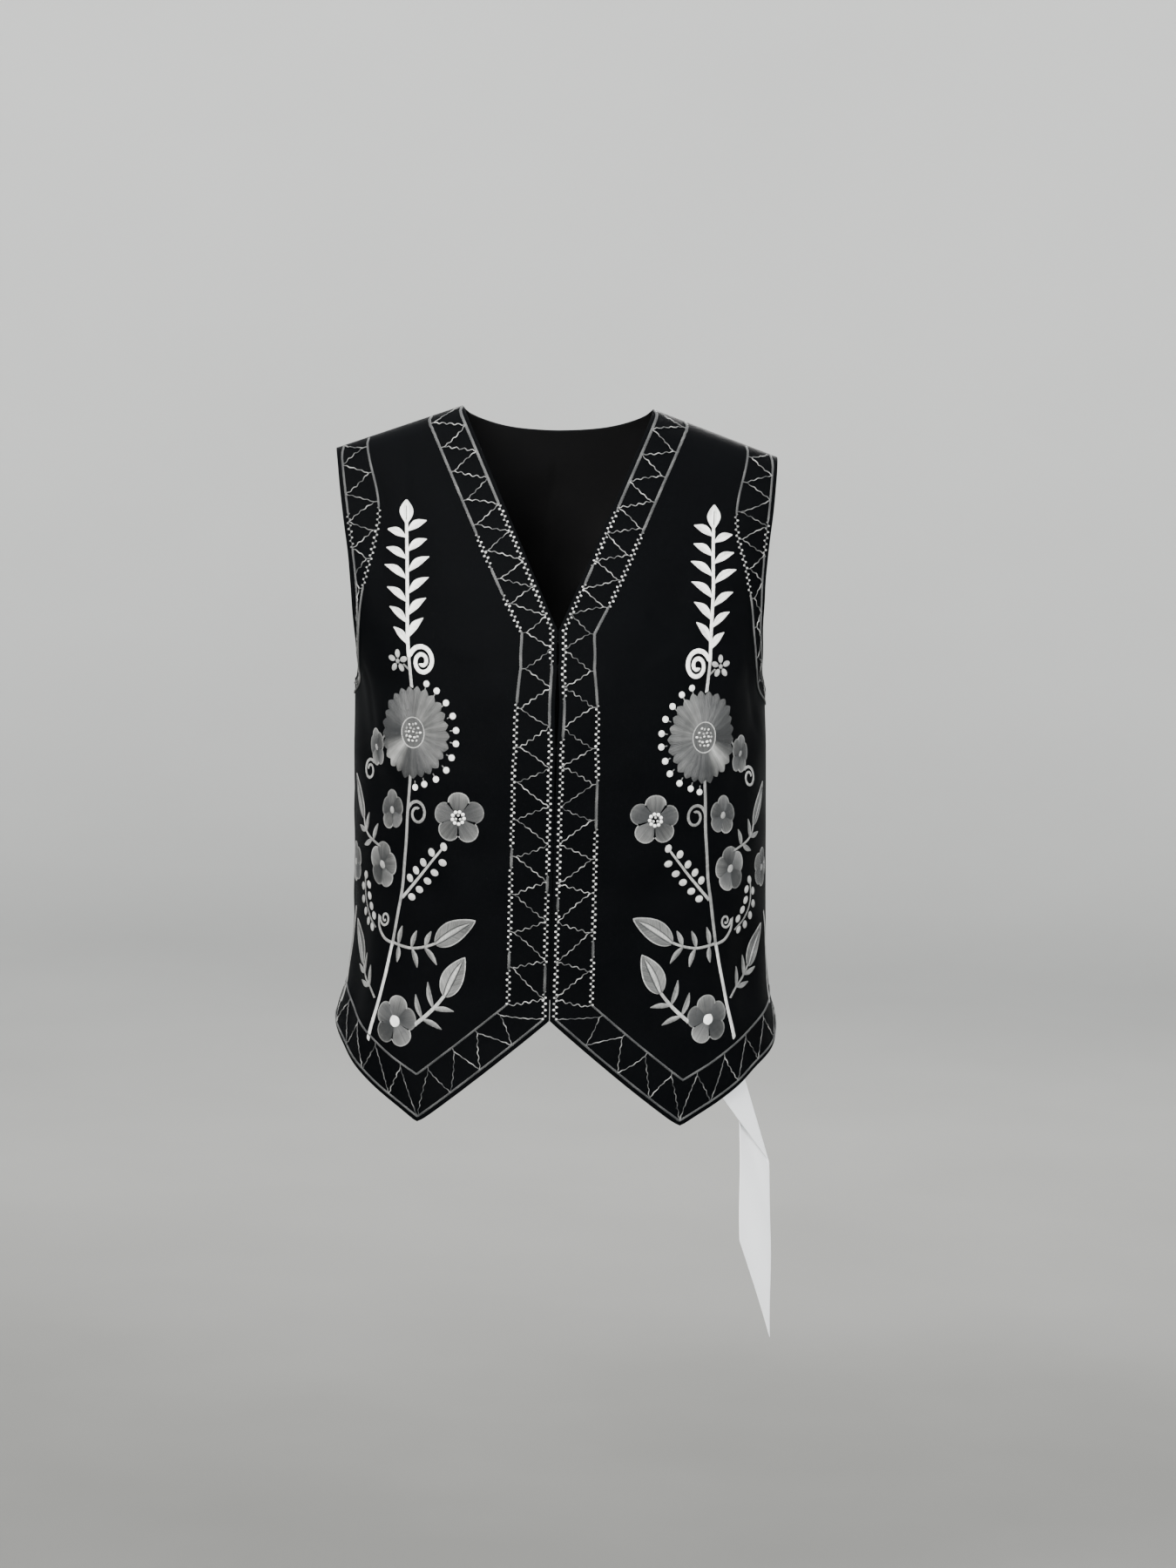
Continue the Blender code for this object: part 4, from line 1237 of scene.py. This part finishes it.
def branches(work):
    for leaf in design["leaves"]:
        rib = {"to": 0.86, "width": leaf.width * 0.25, "tone": leaf.tone + 0.24, "shadow": 0.12}
        satinLeaf(work, leaf.base, leaf.tip, leaf.width, leaf.tone, leaf.bend, leafFullest, rib)
        leafRim(work, leaf)
    for base, tip in design["sprigLeaves"]:
        satinLeaf(work, base, tip, 4.2, 0.52, bend=0.05, fullest=0.45, lean=0.6, sharp=1.0)
    for stem in design["stems"]:
        satinColumn(work, rounded(stem.points), stem.width, stem.tone)
    for curl in design["curls"]:
        satinColumn(work, spiral(curl), (curl.width, curl.width * 0.8), curl.tone)
    for blossom in design["blossoms"]:
        flower(work, blossom)
    for k, (x, y) in enumerate(design["berries"]):
        satinDot(work, (x, y), 3.2, 2.5, 0.80, -1.15 if k < 5 else -0.3)
    for k, (x, y) in enumerate(design["chain"]):
        satinDot(work, (x, y), 2.4, 3.3, 0.68, 0.6 if k % 2 else -0.3)


def leafRim(work, leaf):
    # pale corded outline of a large leaf
    middle, half, off, _ = leafShape(leaf.base, leaf.tip, leaf.width, leaf.bend, leafFullest, 0.8)
    for side in (-1, 1):
        edge = [middle(t) + off * side * half(t) for t in np.linspace(0.02, 1, 26)]
        satinColumn(work, edge, 0.9, leaf.tone + 0.2, rise=0.4)


def daisyAndDots(work):
    threadedDaisy(work, design["daisy"])
    centre = np.array(design["daisy"]["centre"])
    for k, dot in enumerate(design["dots"]):
        dot = np.array(dot)
        inward = (centre - dot) / np.linalg.norm(centre - dot)
        satinColumn(work, [dot + inward * 1.5, dot + inward * 5.0], 0.7, 0.5, rise=0.2)
        satinDot(work, dot, 2.4, 2.4, 0.95, 0.4 * k)


threadWhite = threadMaterial("silverRayonThread", (0.006, 0.007, 0.008, 1.0), (0.86, 0.86, 0.83, 1.0), 0.46)

# How each front hangs: the pattern moves across and down, in millimetres, and stretches below a drop
hangs = {
    "front_left": {"across": -2.2, "down": 0.3, "from": 300.0, "stretch": 0.015},
    "front_right": {"across": 2.2, "down": -0.3, "from": 300.0, "stretch": -0.015},
}
still = {"across": 0.0, "down": 0.0, "from": 0.0, "stretch": 0.0}


def embroider(name):
    face, hang = faces[name], hangs[name]
    upper, lower = Needlework(11), Needlework(12)
    frond(upper)
    daisyAndDots(upper)
    branches(lower)
    pieces = []
    for label, work in (("upper", upper), ("lower", lower)):
        title = f"embroidery_{label}_{name}"
        parts = [makeThreads(title, work, face, hang, threadWhite, satin["sides"], satin["radius"])]
        if work.knots:
            parts.append(makeKnots(f"seeds_{label}_{name}", work, face, hang, threadWhite, 8, 5))
        pieces.append(joined(title, parts))
    return pieces


embroidery = {name: embroider(name) for name in ("front_left", "front_right")}
print("embroidery worked")

# Stitched borders along every front edge

border = {
    "first": 4.2,  # from the cloth's edge to the first line, in millimetres
    "second": {"neck": 30.5, "front": 33.6, "hem": 32.5},
    "armhole": (
        (162.5, 22.0), (156.0, 45.0), (149.8, 70.0), (149.5, 92.0), (157.0, 119.0), (167.0, 147.0),
        (176.0, 177.0), (187.0, 205.0), (207.0, 229.0), (233.0, 241.0),
    ),
    "pitch": 5.0,
    "halfSpread": 1.05,
    "knot": (0.95, 1.10, 0.66),
    "zigzag": {"neck": 13.4, "front": 15.2, "hem": 15.2, "armhole": 12.0},
    "stub": 3.5,
    "crinkle": {"neck": 0.75, "front": 0.9, "hem": 0.45, "armhole": 0.6},
    "crinklePitch": 6.6,
    "crinkleFade": 3.0,
    "zigzagLift": 0.60,
    "zigzagWave": 0.25,
    "zigzagWidth": 1.2,
    "zigzagBow": 0.9,
    "ropeStep": 1.3,
    "ropeWidth": 0.78,
    "twist": 7.2,
    "knotLift": 0.42,
    "linkLift": 0.26,
    "ropeLift": 0.36,
    "ropeRise": 0.22,
    "nearCorner": {"neck": (3.0, 36.0), "front": (5.2, 80.0)},  # the second line closes in by, and over
    "closed": {
        # drops between which a line has closed up, first and second line of each front
        "front_left": (
            ((-40, 80), (195, 252), (367, 387), (440, 470)),
            ((-40, 104), (122, 150), (170, 234), (345, 368), (430, 452)),
        ),
        "front_right": (
            ((-40, 82), (118, 140), (222, 262), (385, 402)),
            ((-40, 100), (150, 235), (288, 335), (420, 440)),
        ),
        "armhole": (((-40, 92), (112, 400)), ((-40, 86), (142, 400))),
    },
}


def frontEdges(face):
    # the cut edges in (s, d) millimetres: neck, centre front, hem to its point, hem to the side, and armhole
    side = face.side
    reach, drop = frontGrid(side)
    s = face.sAt(reach, drop) * 1000
    drop = drop * 1000
    lower = garment["lowerRows"]
    point = int(garment["frontColumns"] * garment["pointAcross"])
    return {
        "neck": np.column_stack([s[lower:, 0], drop[lower:, 0]])[::-1],
        "front": np.column_stack([s[: lower + 1, 0], drop[: lower + 1, 0]])[::-1],
        "hemIn": np.column_stack([s[0, : point + 1], drop[0, : point + 1]]),
        "hemOut": np.column_stack([s[0, point:], drop[0, point:]]),
        "armhole": np.column_stack([s[lower:, -1], drop[lower:, -1]])[::-1],
    }


def onCloth(face, line, step):
    # even points of a pattern line by its true length on the cloth, with the way along and the way across,
    # each a millimetre long there
    line = np.asarray(line, float)
    spots = face.base(face.turnAt(line[:, 0] / 1000, line[:, 1] / 1000), line[:, 1] / 1000) * 1000
    run = np.concatenate([[0], np.cumsum(np.linalg.norm(np.diff(spots, axis=0), axis=1))])
    count = max(int(round(run[-1] / step)), 1)
    at = np.linspace(0, run[-1], count + 1)
    points = np.column_stack([np.interp(at, run, line[:, k]) for k in (0, 1)])
    s, drop = points.T / 1000
    h = 0.0004
    width = np.interp(drop, face.tableDrops, face.lengths)
    s = np.clip(s, 0.001, width - 0.003)  # the slopes are read a little way in from the edges

    def at3(s, drop):
        return face.base(face.turnAt(s, drop), drop)

    bySide = (at3(s + h, drop) - at3(s - h, drop)) / (2 * h)
    byDrop = (at3(s, drop + h) - at3(s, drop - h)) / (2 * h)
    g11, g12, g22 = (bySide**2).sum(1), (bySide * byDrop).sum(1), (byDrop**2).sum(1)
    way = np.gradient(points, axis=0)
    length = np.sqrt(g11 * way[:, 0] ** 2 + 2 * g12 * way[:, 0] * way[:, 1] + g22 * way[:, 1] ** 2)
    way = way / np.maximum(length, 1e-9)[:, None]
    area = np.sqrt(np.maximum(g11 * g22 - g12**2, 1e-9))
    first = g11 * way[:, 0] + g12 * way[:, 1]
    second = g12 * way[:, 0] + g22 * way[:, 1]
    return points, way, np.column_stack([-second, first]) / area[:, None], run[-1]


def offsetLine(face, edge, distance, inward, closer=0.0, over=1.0, fromEnd=False):
    points, _, off, length = onCloth(face, edge, 3.0)
    run = np.linspace(0, length, len(points))
    run = length - run if fromEnd else run
    return points + off * ((distance - closer * np.exp(-((run / over) ** 2))) * inward)[:, None]


def crossing(a, b):
    # two offset lines cut or carried straight on to where they meet
    u, v = a[-5] - a[-9], b[4] - b[8]
    u, v = u / np.linalg.norm(u), v / np.linalg.norm(v)
    reach = np.arange(1.0, 50.0, 1.0)[:, None]
    a = np.vstack([a[:-4], a[-5] + u * reach])
    b = np.vstack([(b[4] + v * reach)[::-1], b[4:]])
    for i in range(len(a) - 1):
        for j in range(len(b) - 1, 0, -1):
            d1, d2, gap = a[i + 1] - a[i], b[j - 1] - b[j], b[j] - a[i]
            cross = d1[0] * d2[1] - d1[1] * d2[0]
            if abs(cross) < 1e-9:
                continue
            t = (gap[0] * d2[1] - gap[1] * d2[0]) / cross
            w = (gap[0] * d1[1] - gap[1] * d1[0]) / cross
            if 0 <= t <= 1 and 0 <= w <= 1:
                meet = a[i] + d1 * t
                return np.vstack([a[: i + 1], meet]), np.vstack([meet, b[j:]])
    raise ValueError("two border lines never meet")


def mergedShare(line, kind):
    # how far the two columns of a line have closed up into a dull band
    share = np.full(len(line), kind["least"])
    for first, last in kind["closed"]:
        drop = line[:, 1]
        share = np.maximum(share, smoothStep((drop - first) / 7.0) * smoothStep((last - drop) / 7.0))
    return share


def stitchLine(work, face, line, kind, brightness):
    # two columns of small knots over a thread that turns at each one. Closed stretches are a twisted rope.
    points, way, off, _ = onCloth(face, line, border["pitch"] / 2)
    sides = np.where(np.arange(len(points)) % 2, 1.0, -1.0)
    merged = mergedShare(points, kind)
    places = points + off * (sides * border["halfSpread"] * (1 - 0.45 * merged))[:, None]
    link = []
    for k in range(len(places)):
        spot = places[k] + np.array([work.uneven(0.16), work.uneven(0.16)])
        dull = merged[k]
        link.append(spot)
        if dull > 0.9:
            continue
        size = np.array(border["knot"]) * (1 + work.uneven(0.14)) * (1 - 0.42 * dull) * kind["size"]
        tone = brightness * (0.86 - 0.46 * dull) + work.uneven(0.13)
        work.knot(spot, way[k], size, border["knotLift"], tone)
    work.thread(link, border["linkLift"], 0.34 * brightness, 1.3 - 0.5 * merged)
    fine, _, across, length = onCloth(face, line, border["ropeStep"])
    dull = mergedShare(fine, kind)
    turn = np.linspace(0, length, len(fine)) * 2 * math.pi / border["twist"]
    tones = (0.25 + 0.10 * dull) * (0.5 + 0.5 * brightness) + 0.05 * np.sin(turn / 3.7 + brightness * 9)
    inside = np.concatenate([[False], dull > 0.05, [False]])
    ends = np.flatnonzero(inside[1:] != inside[:-1])
    for strand in range(3):
        phase = turn + strand * 2 * math.pi / 3
        rope = fine + across * (border["ropeWidth"] * kind["band"] * dull * np.sin(phase))[:, None]
        lift = border["ropeLift"] + border["ropeRise"] * dull * np.cos(phase)
        for first, last in zip(ends[::2], ends[1::2]):
            if last - first > 2:
                run = slice(first, last)
                thick = 0.6 + 1.3 * dull[run] * kind["band"]
                work.thread(rope[run], lift[run], tones[run] + work.uneven(0.04), thick)


def wavyThread(work, face, first, second, part, seed, tone):
    # the crinkled thread to and fro between two lines, tied to the second by a short stitch at each turn
    a, _, _, lengthA = onCloth(face, first, 1.0)
    b, _, _, lengthB = onCloth(face, second, 1.0)
    turns = max(int(round((lengthA + lengthB) / 2 / border["zigzag"][part])), 1)
    if part == "neck":
        turns += 1 - turns % 2
    path = []
    for k in range(turns + 1):
        share = (k + (work.uneven(0.10) if 0 < k < turns else 0.0)) / turns
        outward = (k + (part == "front")) % 2
        line, other = (b, a) if outward else (a, b)
        spot = line[min(int(share * (len(line) - 1)), len(line) - 1)]
        if outward:
            back = other[min(int(share * (len(other) - 1)), len(other) - 1)] - spot
            tied = spot + back / np.linalg.norm(back) * border["stub"]
            work.thread([spot, (spot + tied) / 2, tied], [0.40, 0.62, 0.66], tone - 0.06, 1.2)
            spot = tied
        path.append(spot)
    for k in range(turns):
        start, end = np.array(path[k]), np.array(path[k + 1])
        points, _, off, length = onCloth(face, [start + (end - start) * t for t in np.linspace(0, 1, 9)], 0.8)
        share = np.linspace(0, length, len(points))
        phase = seed * 1.7 + k * 2.1
        size = border["crinkle"][part] * (0.95 if k % 2 else 0.6) * (1 + work.uneven(0.25))
        ends = np.clip(np.minimum(share, length - share) / border["crinkleFade"], 0, 1)
        turn = 2 * math.pi * share / border["crinklePitch"]
        wave = np.sin(turn + phase) * size * ends
        bow = math.sin(k * 1.3 + seed) * border["zigzagBow"] * np.sin(math.pi * share / length)
        lift = border["zigzagLift"] + border["zigzagWave"] * np.cos(2 * turn + phase) * ends
        shade = tone + 0.15 * np.sin(share / 2.6 + phase) + work.uneven(0.13)
        thick = border["zigzagWidth"] + 0.28 * np.sin(share / 1.9 + phase)
        work.thread(points + off * (wave + bow)[:, None], lift, shade, thick)


def toShoulder(line):
    # the top of a line carried straight on upwards, as far as the shoulder seam cuts it off
    line = line[6:]
    way = line[0] - line[7]
    way = way / np.linalg.norm(way)
    extra = [line[0] + way * k for k in np.arange(48.0, 0.0, -1.0)]
    return np.vstack([extra, line])


borderSeeds = {"front_left": 21, "front_right": 22}
zigzagTones = (("neck", 0.54), ("front", 0.52), ("hem", 0.42), ("hem", 0.40))


def stitchBorder(name):
    face = faces[name]
    work = Needlework(borderSeeds[name])
    edges = frontEdges(face)
    lines = []
    for which in ("first", "second"):
        found = []
        for part in ("neck", "front", "hemIn", "hemOut"):
            kind = "hem" if part.startswith("hem") else part
            distance = border["first"] if which == "first" else border["second"][kind]
            closer, over = border["nearCorner"].get(part, (0.0, 1.0)) if which == "second" else (0.0, 1.0)
            found.append(offsetLine(face, edges[part], distance, -1.0, closer, over, part == "neck"))
        for k in range(len(found) - 1):
            found[k], found[k + 1] = crossing(found[k], found[k + 1])
        found[0] = insidePanel(toShoulder(found[0]), face)
        found[3] = insidePanel(found[3], face)
        lines.append(found)
    for k, found in enumerate(lines):
        upper = {"closed": border["closed"][name][k], "least": 0.0, "size": 0.95, "band": 1.0}
        hem = {"closed": (), "least": 0.95, "size": 0.6, "band": 0.72}
        stitchLine(work, face, np.vstack([found[0], found[1][1:]]), upper, 0.92)
        stitchLine(work, face, np.vstack([found[2], found[3][1:]]), hem, 0.66)
    for k, (part, tone) in enumerate(zigzagTones):
        wavyThread(work, face, lines[0][k], lines[1][k], part, k + face.side, tone)
    inner = insidePanel(toShoulder(offsetLine(face, edges["armhole"], border["first"], 1.0)), face)
    outer = insidePanel(toShoulder(rounded(border["armhole"])), face)
    closed = border["closed"]["armhole"]
    arm = {"least": 0.0, "size": 0.9, "band": 0.75}
    stitchLine(work, face, inner, arm | {"closed": closed[0]}, 0.66)
    stitchLine(work, face, outer, arm | {"closed": closed[1]}, 0.82)
    wavyThread(work, face, inner, outer, "armhole", 5.0 + face.side, 0.48)
    threads = makeThreads("borderThread_" + name, work, face, still, threadWhite, 6, 0.00030)
    knots = makeKnots("borderKnots_" + name, work, face, still, threadWhite, 7, 4)
    return joined("border_" + name, [threads, knots])


def insidePanel(line, face):
    # keep what lies on the front, short of the side seam and the shoulder
    s, drop = line.T / 1000
    row = np.clip((drop - face.tableDrops[0]) / face.dropStep, 0, len(face.tableDrops) - 1).astype(int)
    reach = halfWidth(drop, face.side) * np.sin(face.turnAt(s, drop))
    keep = (line[:, 0] < face.lengths[row] * 1000 - 1.5) & (drop > shoulderLine(reach) + 0.0004)
    return line[keep]


borders = {name: stitchBorder(name) for name in ("front_left", "front_right")}
print("borders stitched")

# Plain topstitching round the back's edges, in the cloth's own black

topstitch = {"inset": 3.0, "pitch": 2.9, "stitch": (1.15, 0.30, 0.24), "tone": 0.12}
stitchBlack = threadMaterial("blackTopstitch", (0.002, 0.002, 0.003, 1.0), (0.60, 0.60, 0.62, 1.0), 0.4)


def backEdges(side):
    # the back's neck, armhole and hem edges on one side, from the middle or the top
    across, reach, drop = backGrid()
    if side < 0:
        reach, drop = reach[:, ::-1], drop[:, ::-1]
    right = across >= 0
    neck = (across >= -1e-9) & (across <= garment["backNeckShare"] + 1e-9)
    return {
        "neck": (reach[-1, neck], drop[-1, neck], 1.0),
        "armhole": (reach[garment["lowerRows"] :, -1][::-1], drop[garment["lowerRows"] :, -1][::-1], 1.0),
        "hem": (reach[0, right], drop[0, right], -1.0),
    }


def stitchBack():
    parts = []
    for name in ("back_left", "back_right"):
        face, work = faces[name], Needlework(31 if name == "back_left" else 32)
        for reach, drop, inward in backEdges(face.side).values():
            edge = np.column_stack([face.sAt(reach, drop), drop]) * 1000
            line = insidePanel(offsetLine(face, edge, topstitch["inset"], inward), face)
            points, way, _, _ = onCloth(face, line, topstitch["pitch"])
            for k in range(len(points)):
                work.knot(points[k], way[k], topstitch["stitch"], 0.10, topstitch["tone"] + work.uneven(0.04))
        parts.append(makeKnots("topstitch_" + name, work, face, still, stitchBlack, 6, 4))
    return joined("topstitch_back", parts)


backStitches = stitchBack()
print("back topstitched")

# Care label: satin ribbon, blank, folded back at a slant

label = {
    "thickness": 0.0007,
    "inset": 0.00015,
    "columns": 24,
    "rows": {"upper": 22, "bend": 8, "lower": 70},
    "foldTop": (0.1586, -0.0668, -0.5290),
    "turn": math.radians(45),
    "width": 0.034,
    "upperSlant": math.radians(45),
    "foldSlant": math.radians(24.5),
    "shortEdge": 0.008,
    "lowerLength": 0.145,
    "foldRadius": 0.0014,
    "foldTurn": math.radians(176),
    "curl": 0.0011,
}
ribbonLook = {
    "dark": (0.80, 0.81, 0.83, 1.0),
    "light": (0.90, 0.91, 0.92, 1.0),
    "roughness": 0.38,
    "weave": Weave(0.0006, 1800.0, 14.0, 0.12, 0.00004),
}


def makeLabel():
    across = Vector((math.cos(label["turn"]), math.sin(label["turn"]), 0))
    down = Vector((0, 0, -1))
    inward = Vector((-math.sin(label["turn"]), math.cos(label["turn"]), 0))
    fold = across * math.sin(label["foldSlant"]) + down * math.cos(label["foldSlant"])
    ahead = across * math.cos(label["foldSlant"]) - down * math.sin(label["foldSlant"])
    slant = label["upperSlant"] - label["foldSlant"]
    share = np.linspace(0, 1, label["columns"] + 1)
    rowLength = label["width"] / math.sin(slant)
    back = (label["shortEdge"] + rowLength * math.cos(slant) * share) * math.sin(slant)
    bend = label["foldRadius"] * label["foldTurn"]
    tail = label["lowerLength"] * math.sin(slant)
    upper = [-back * (1 - k / label["rows"]["upper"]) for k in range(label["rows"]["upper"] + 1)]
    turned = np.linspace(0, bend, label["rows"]["bend"] + 1)[1:]
    lower = np.linspace(bend, bend + tail, label["rows"]["lower"] + 1)[1:]
    distances = np.concatenate([upper, np.concatenate([turned, lower])[:, None] + 0 * share])
    starts = rowLength * share
    points = np.zeros((*distances.shape, 3))
    uv = np.zeros((*distances.shape, 2))
    for row, place in np.ndindex(distances.shape):
        length = distances[row, place]
        angle = min(max(length / label["foldRadius"], 0.0), label["foldTurn"])
        after = max(length - bend, 0.0)
        a = min(length, 0.0) + label["foldRadius"] * math.sin(angle) + after * math.cos(angle)
        n = label["foldRadius"] * (1 - math.cos(angle)) + after * math.sin(angle)
        sideways = starts[place] + length / math.tan(slant)
        free = smoothStep(after / (0.25 * tail))
        wave = label["curl"] * float(free) * (
            math.sin(3.1 * share[place] + 1.9 * after / tail + 0.6) + 0.5 * math.sin(9 * after / tail)
        )
        point = Vector(label["foldTop"]) + ahead * a + fold * sideways + inward * (n + wave)
        points[row, place] = point
        uv[row, place] = (sideways, length)
    normal = gridNormals(points)
    look = clothMaterial("whiteSatinRibbon", ribbonLook)
    socketValue(look.surface, Sheen_Weight=0.2, Sheen_Roughness=0.3)
    outer = points - normal * label["inset"]
    return clothShell("satin_label", outer, normal, uv, label["thickness"], look.material)


careLabel = makeLabel()
print("label made")

# Hooks and eyes keep their solids and get a worn black lacquer

wireLook = {"roughness": 0.32, "lacquer": (0.012, 0.012, 0.013, 1.0), "bare": (0.30, 0.30, 0.31, 1.0)}


def finishHooks():
    look = Shader("blackLacqueredWire")
    where = look.add("ShaderNodeTexCoord").outputs["Object"]
    wear = look.add("ShaderNodeTexNoise", {"Vector": where, "Scale": 700.0, "Detail": 3.0})
    worn = look.add("ShaderNodeMapRange", {0: wear.outputs[0], 1: 0.62, 2: 0.74}).outputs[0]
    look.join(look.mix(worn, wireLook["lacquer"], wireLook["bare"]), "Base Color")
    uneven = look.maths("MULTIPLY", wear.outputs[0], 0.2)
    look.join(look.maths("ADD", uneven, wireLook["roughness"] - 0.1), "Roughness")
    look.join(look.bump(wear.outputs[0], 0.00003), "Normal")
    socketValue(look.surface, Metallic=0.85)
    for name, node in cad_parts.items():
        if name.startswith(("hook_", "eye_")):
            for slot in node.material_slots:
                slot.material = look.material


finishHooks()
print("hooks finished")

# What each piece rides on and stands for

for name, cloth in (("front_left", clothFrontLeft), ("front_right", clothFrontRight), ("back", clothBack)):
    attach(cloth, "root")
    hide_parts(name)
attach(careLabel, "root")
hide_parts("care_label")
for name in ("front_left", "front_right"):
    for piece in embroidery[name] + [borders[name]]:
        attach(piece, "root")

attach(backStitches, "root")

# Floor, light and world

studio = {
    "floorDrop": -1.32,
    "flatRadius": 5.0,
    "wallRadius": 8.5,
    "wallTop": 4.6,
    # the floor's colour is painted dark: painted shade for a backdrop lit more dimly low down
    "floorColourWithPaintedShade": (0.105, 0.105, 0.099, 1.0),
    "wallPaint": (0.78, 0.78, 0.76, 1.0),
    "world": (0.86, 0.88, 0.90, 1.0),
    "worldStrength": 1.75,
}


def addFloor():
    # profile from the middle of the floor, round a wide curve and up the wall
    curve = studio["wallRadius"] - studio["flatRadius"]
    profile = [(studio["flatRadius"], studio["floorDrop"])]
    for k in range(1, 25):
        angle = math.pi / 2 * k / 24
        out, up = curve * math.sin(angle), curve * (1 - math.cos(angle))
        profile.append((studio["flatRadius"] + out, studio["floorDrop"] + up))
    profile.append((studio["wallRadius"], studio["wallTop"]))
    ring = 128
    points = [(0.0, 0.0, studio["floorDrop"])]
    for radius, height in profile:
        for k in range(ring):
            angle = 2 * math.pi * k / ring
            points.append((radius * math.cos(angle), radius * math.sin(angle), height))
    quads = [(0, 1 + k, 1 + (k + 1) % ring) for k in range(ring)]
    for row in range(len(profile) - 1):
        for k in range(ring):
            a, b = 1 + row * ring + k, 1 + row * ring + (k + 1) % ring
            quads.append((a, a + ring, b + ring, b))
    mesh = bpy.data.meshes.new("studioFloor")
    mesh.from_pydata(points, [], quads)
    mesh.shade_smooth()
    floor = meshObject("studioFloor", mesh)
    look = Shader("palePlaster")
    where = look.add("ShaderNodeTexCoord").outputs["Object"]
    stain = look.add("ShaderNodeTexNoise", {"Vector": where, "Scale": 1.2, "Detail": 4.0})
    away = look.add("ShaderNodeVectorMath", {0: where, 1: (1.0, 1.0, 0.0)}, operation="MULTIPLY").outputs[0]
    radius = look.add("ShaderNodeVectorMath", {0: away}, operation="LENGTH").outputs["Value"]
    # painted shade: the colour runs from the dark floor in the middle to the pale wall up the curve
    share = look.add("ShaderNodeMapRange", {0: radius, 1: 0.6, 2: studio["wallRadius"]}).outputs[0]
    climb = look.maths("POWER", share, 1.7)
    cloudy = look.maths("MULTIPLY", look.maths("SUBTRACT", stain.outputs[0], 0.5), 0.12)
    shade = look.maths("ADD", climb, cloudy, clamp=True)
    look.join(look.mix(shade, studio["floorColourWithPaintedShade"], studio["wallPaint"]), "Base Color")
    socketValue(look.surface, Roughness=0.9, Specular_IOR_Level=0.2)
    mesh.materials.append(look.material)


def addLight(name, place, aim, size, power, colour):
    data = bpy.data.lights.new(name, "AREA")
    data.shape = "RECTANGLE"
    data.size, data.size_y = size
    data.energy = power
    data.color = colour
    lamp = bpy.data.objects.new(name, data)
    lamp.location = place
    lamp.rotation_euler = (Vector(aim) - Vector(place)).to_track_quat("-Z", "Y").to_euler()
    bpy.context.scene.collection.objects.link(lamp)


def addStudio():
    addFloor()
    addLight("keySoftbox", (-1.7, -3.4, 1.5), (0, 0, -0.25), (1.8, 1.4), 390.0, (1.0, 0.99, 0.97))
    addLight("fillSoftbox", (2.3, -3.2, 0.5), (0, 0, -0.3), (1.8, 1.8), 130.0, (0.96, 0.985, 1.0))
    addLight("topSoftbox", (0.0, 0.2, 2.6), (0, 0, -0.2), (2.4, 2.4), 80.0, (1.0, 1.0, 1.0))
    addLight("backSoftbox", (0.8, 3.4, 1.4), (0, 0, -0.3), (2.0, 1.6), 190.0, (1.0, 0.99, 0.97))
    world = bpy.data.worlds.new("paleRoom")
    world.use_nodes = True
    world.node_tree.nodes["Background"].inputs[0].default_value = studio["world"]
    world.node_tree.nodes["Background"].inputs[1].default_value = studio["worldStrength"]
    bpy.context.scene.world = world


addStudio()
print("studio lit")
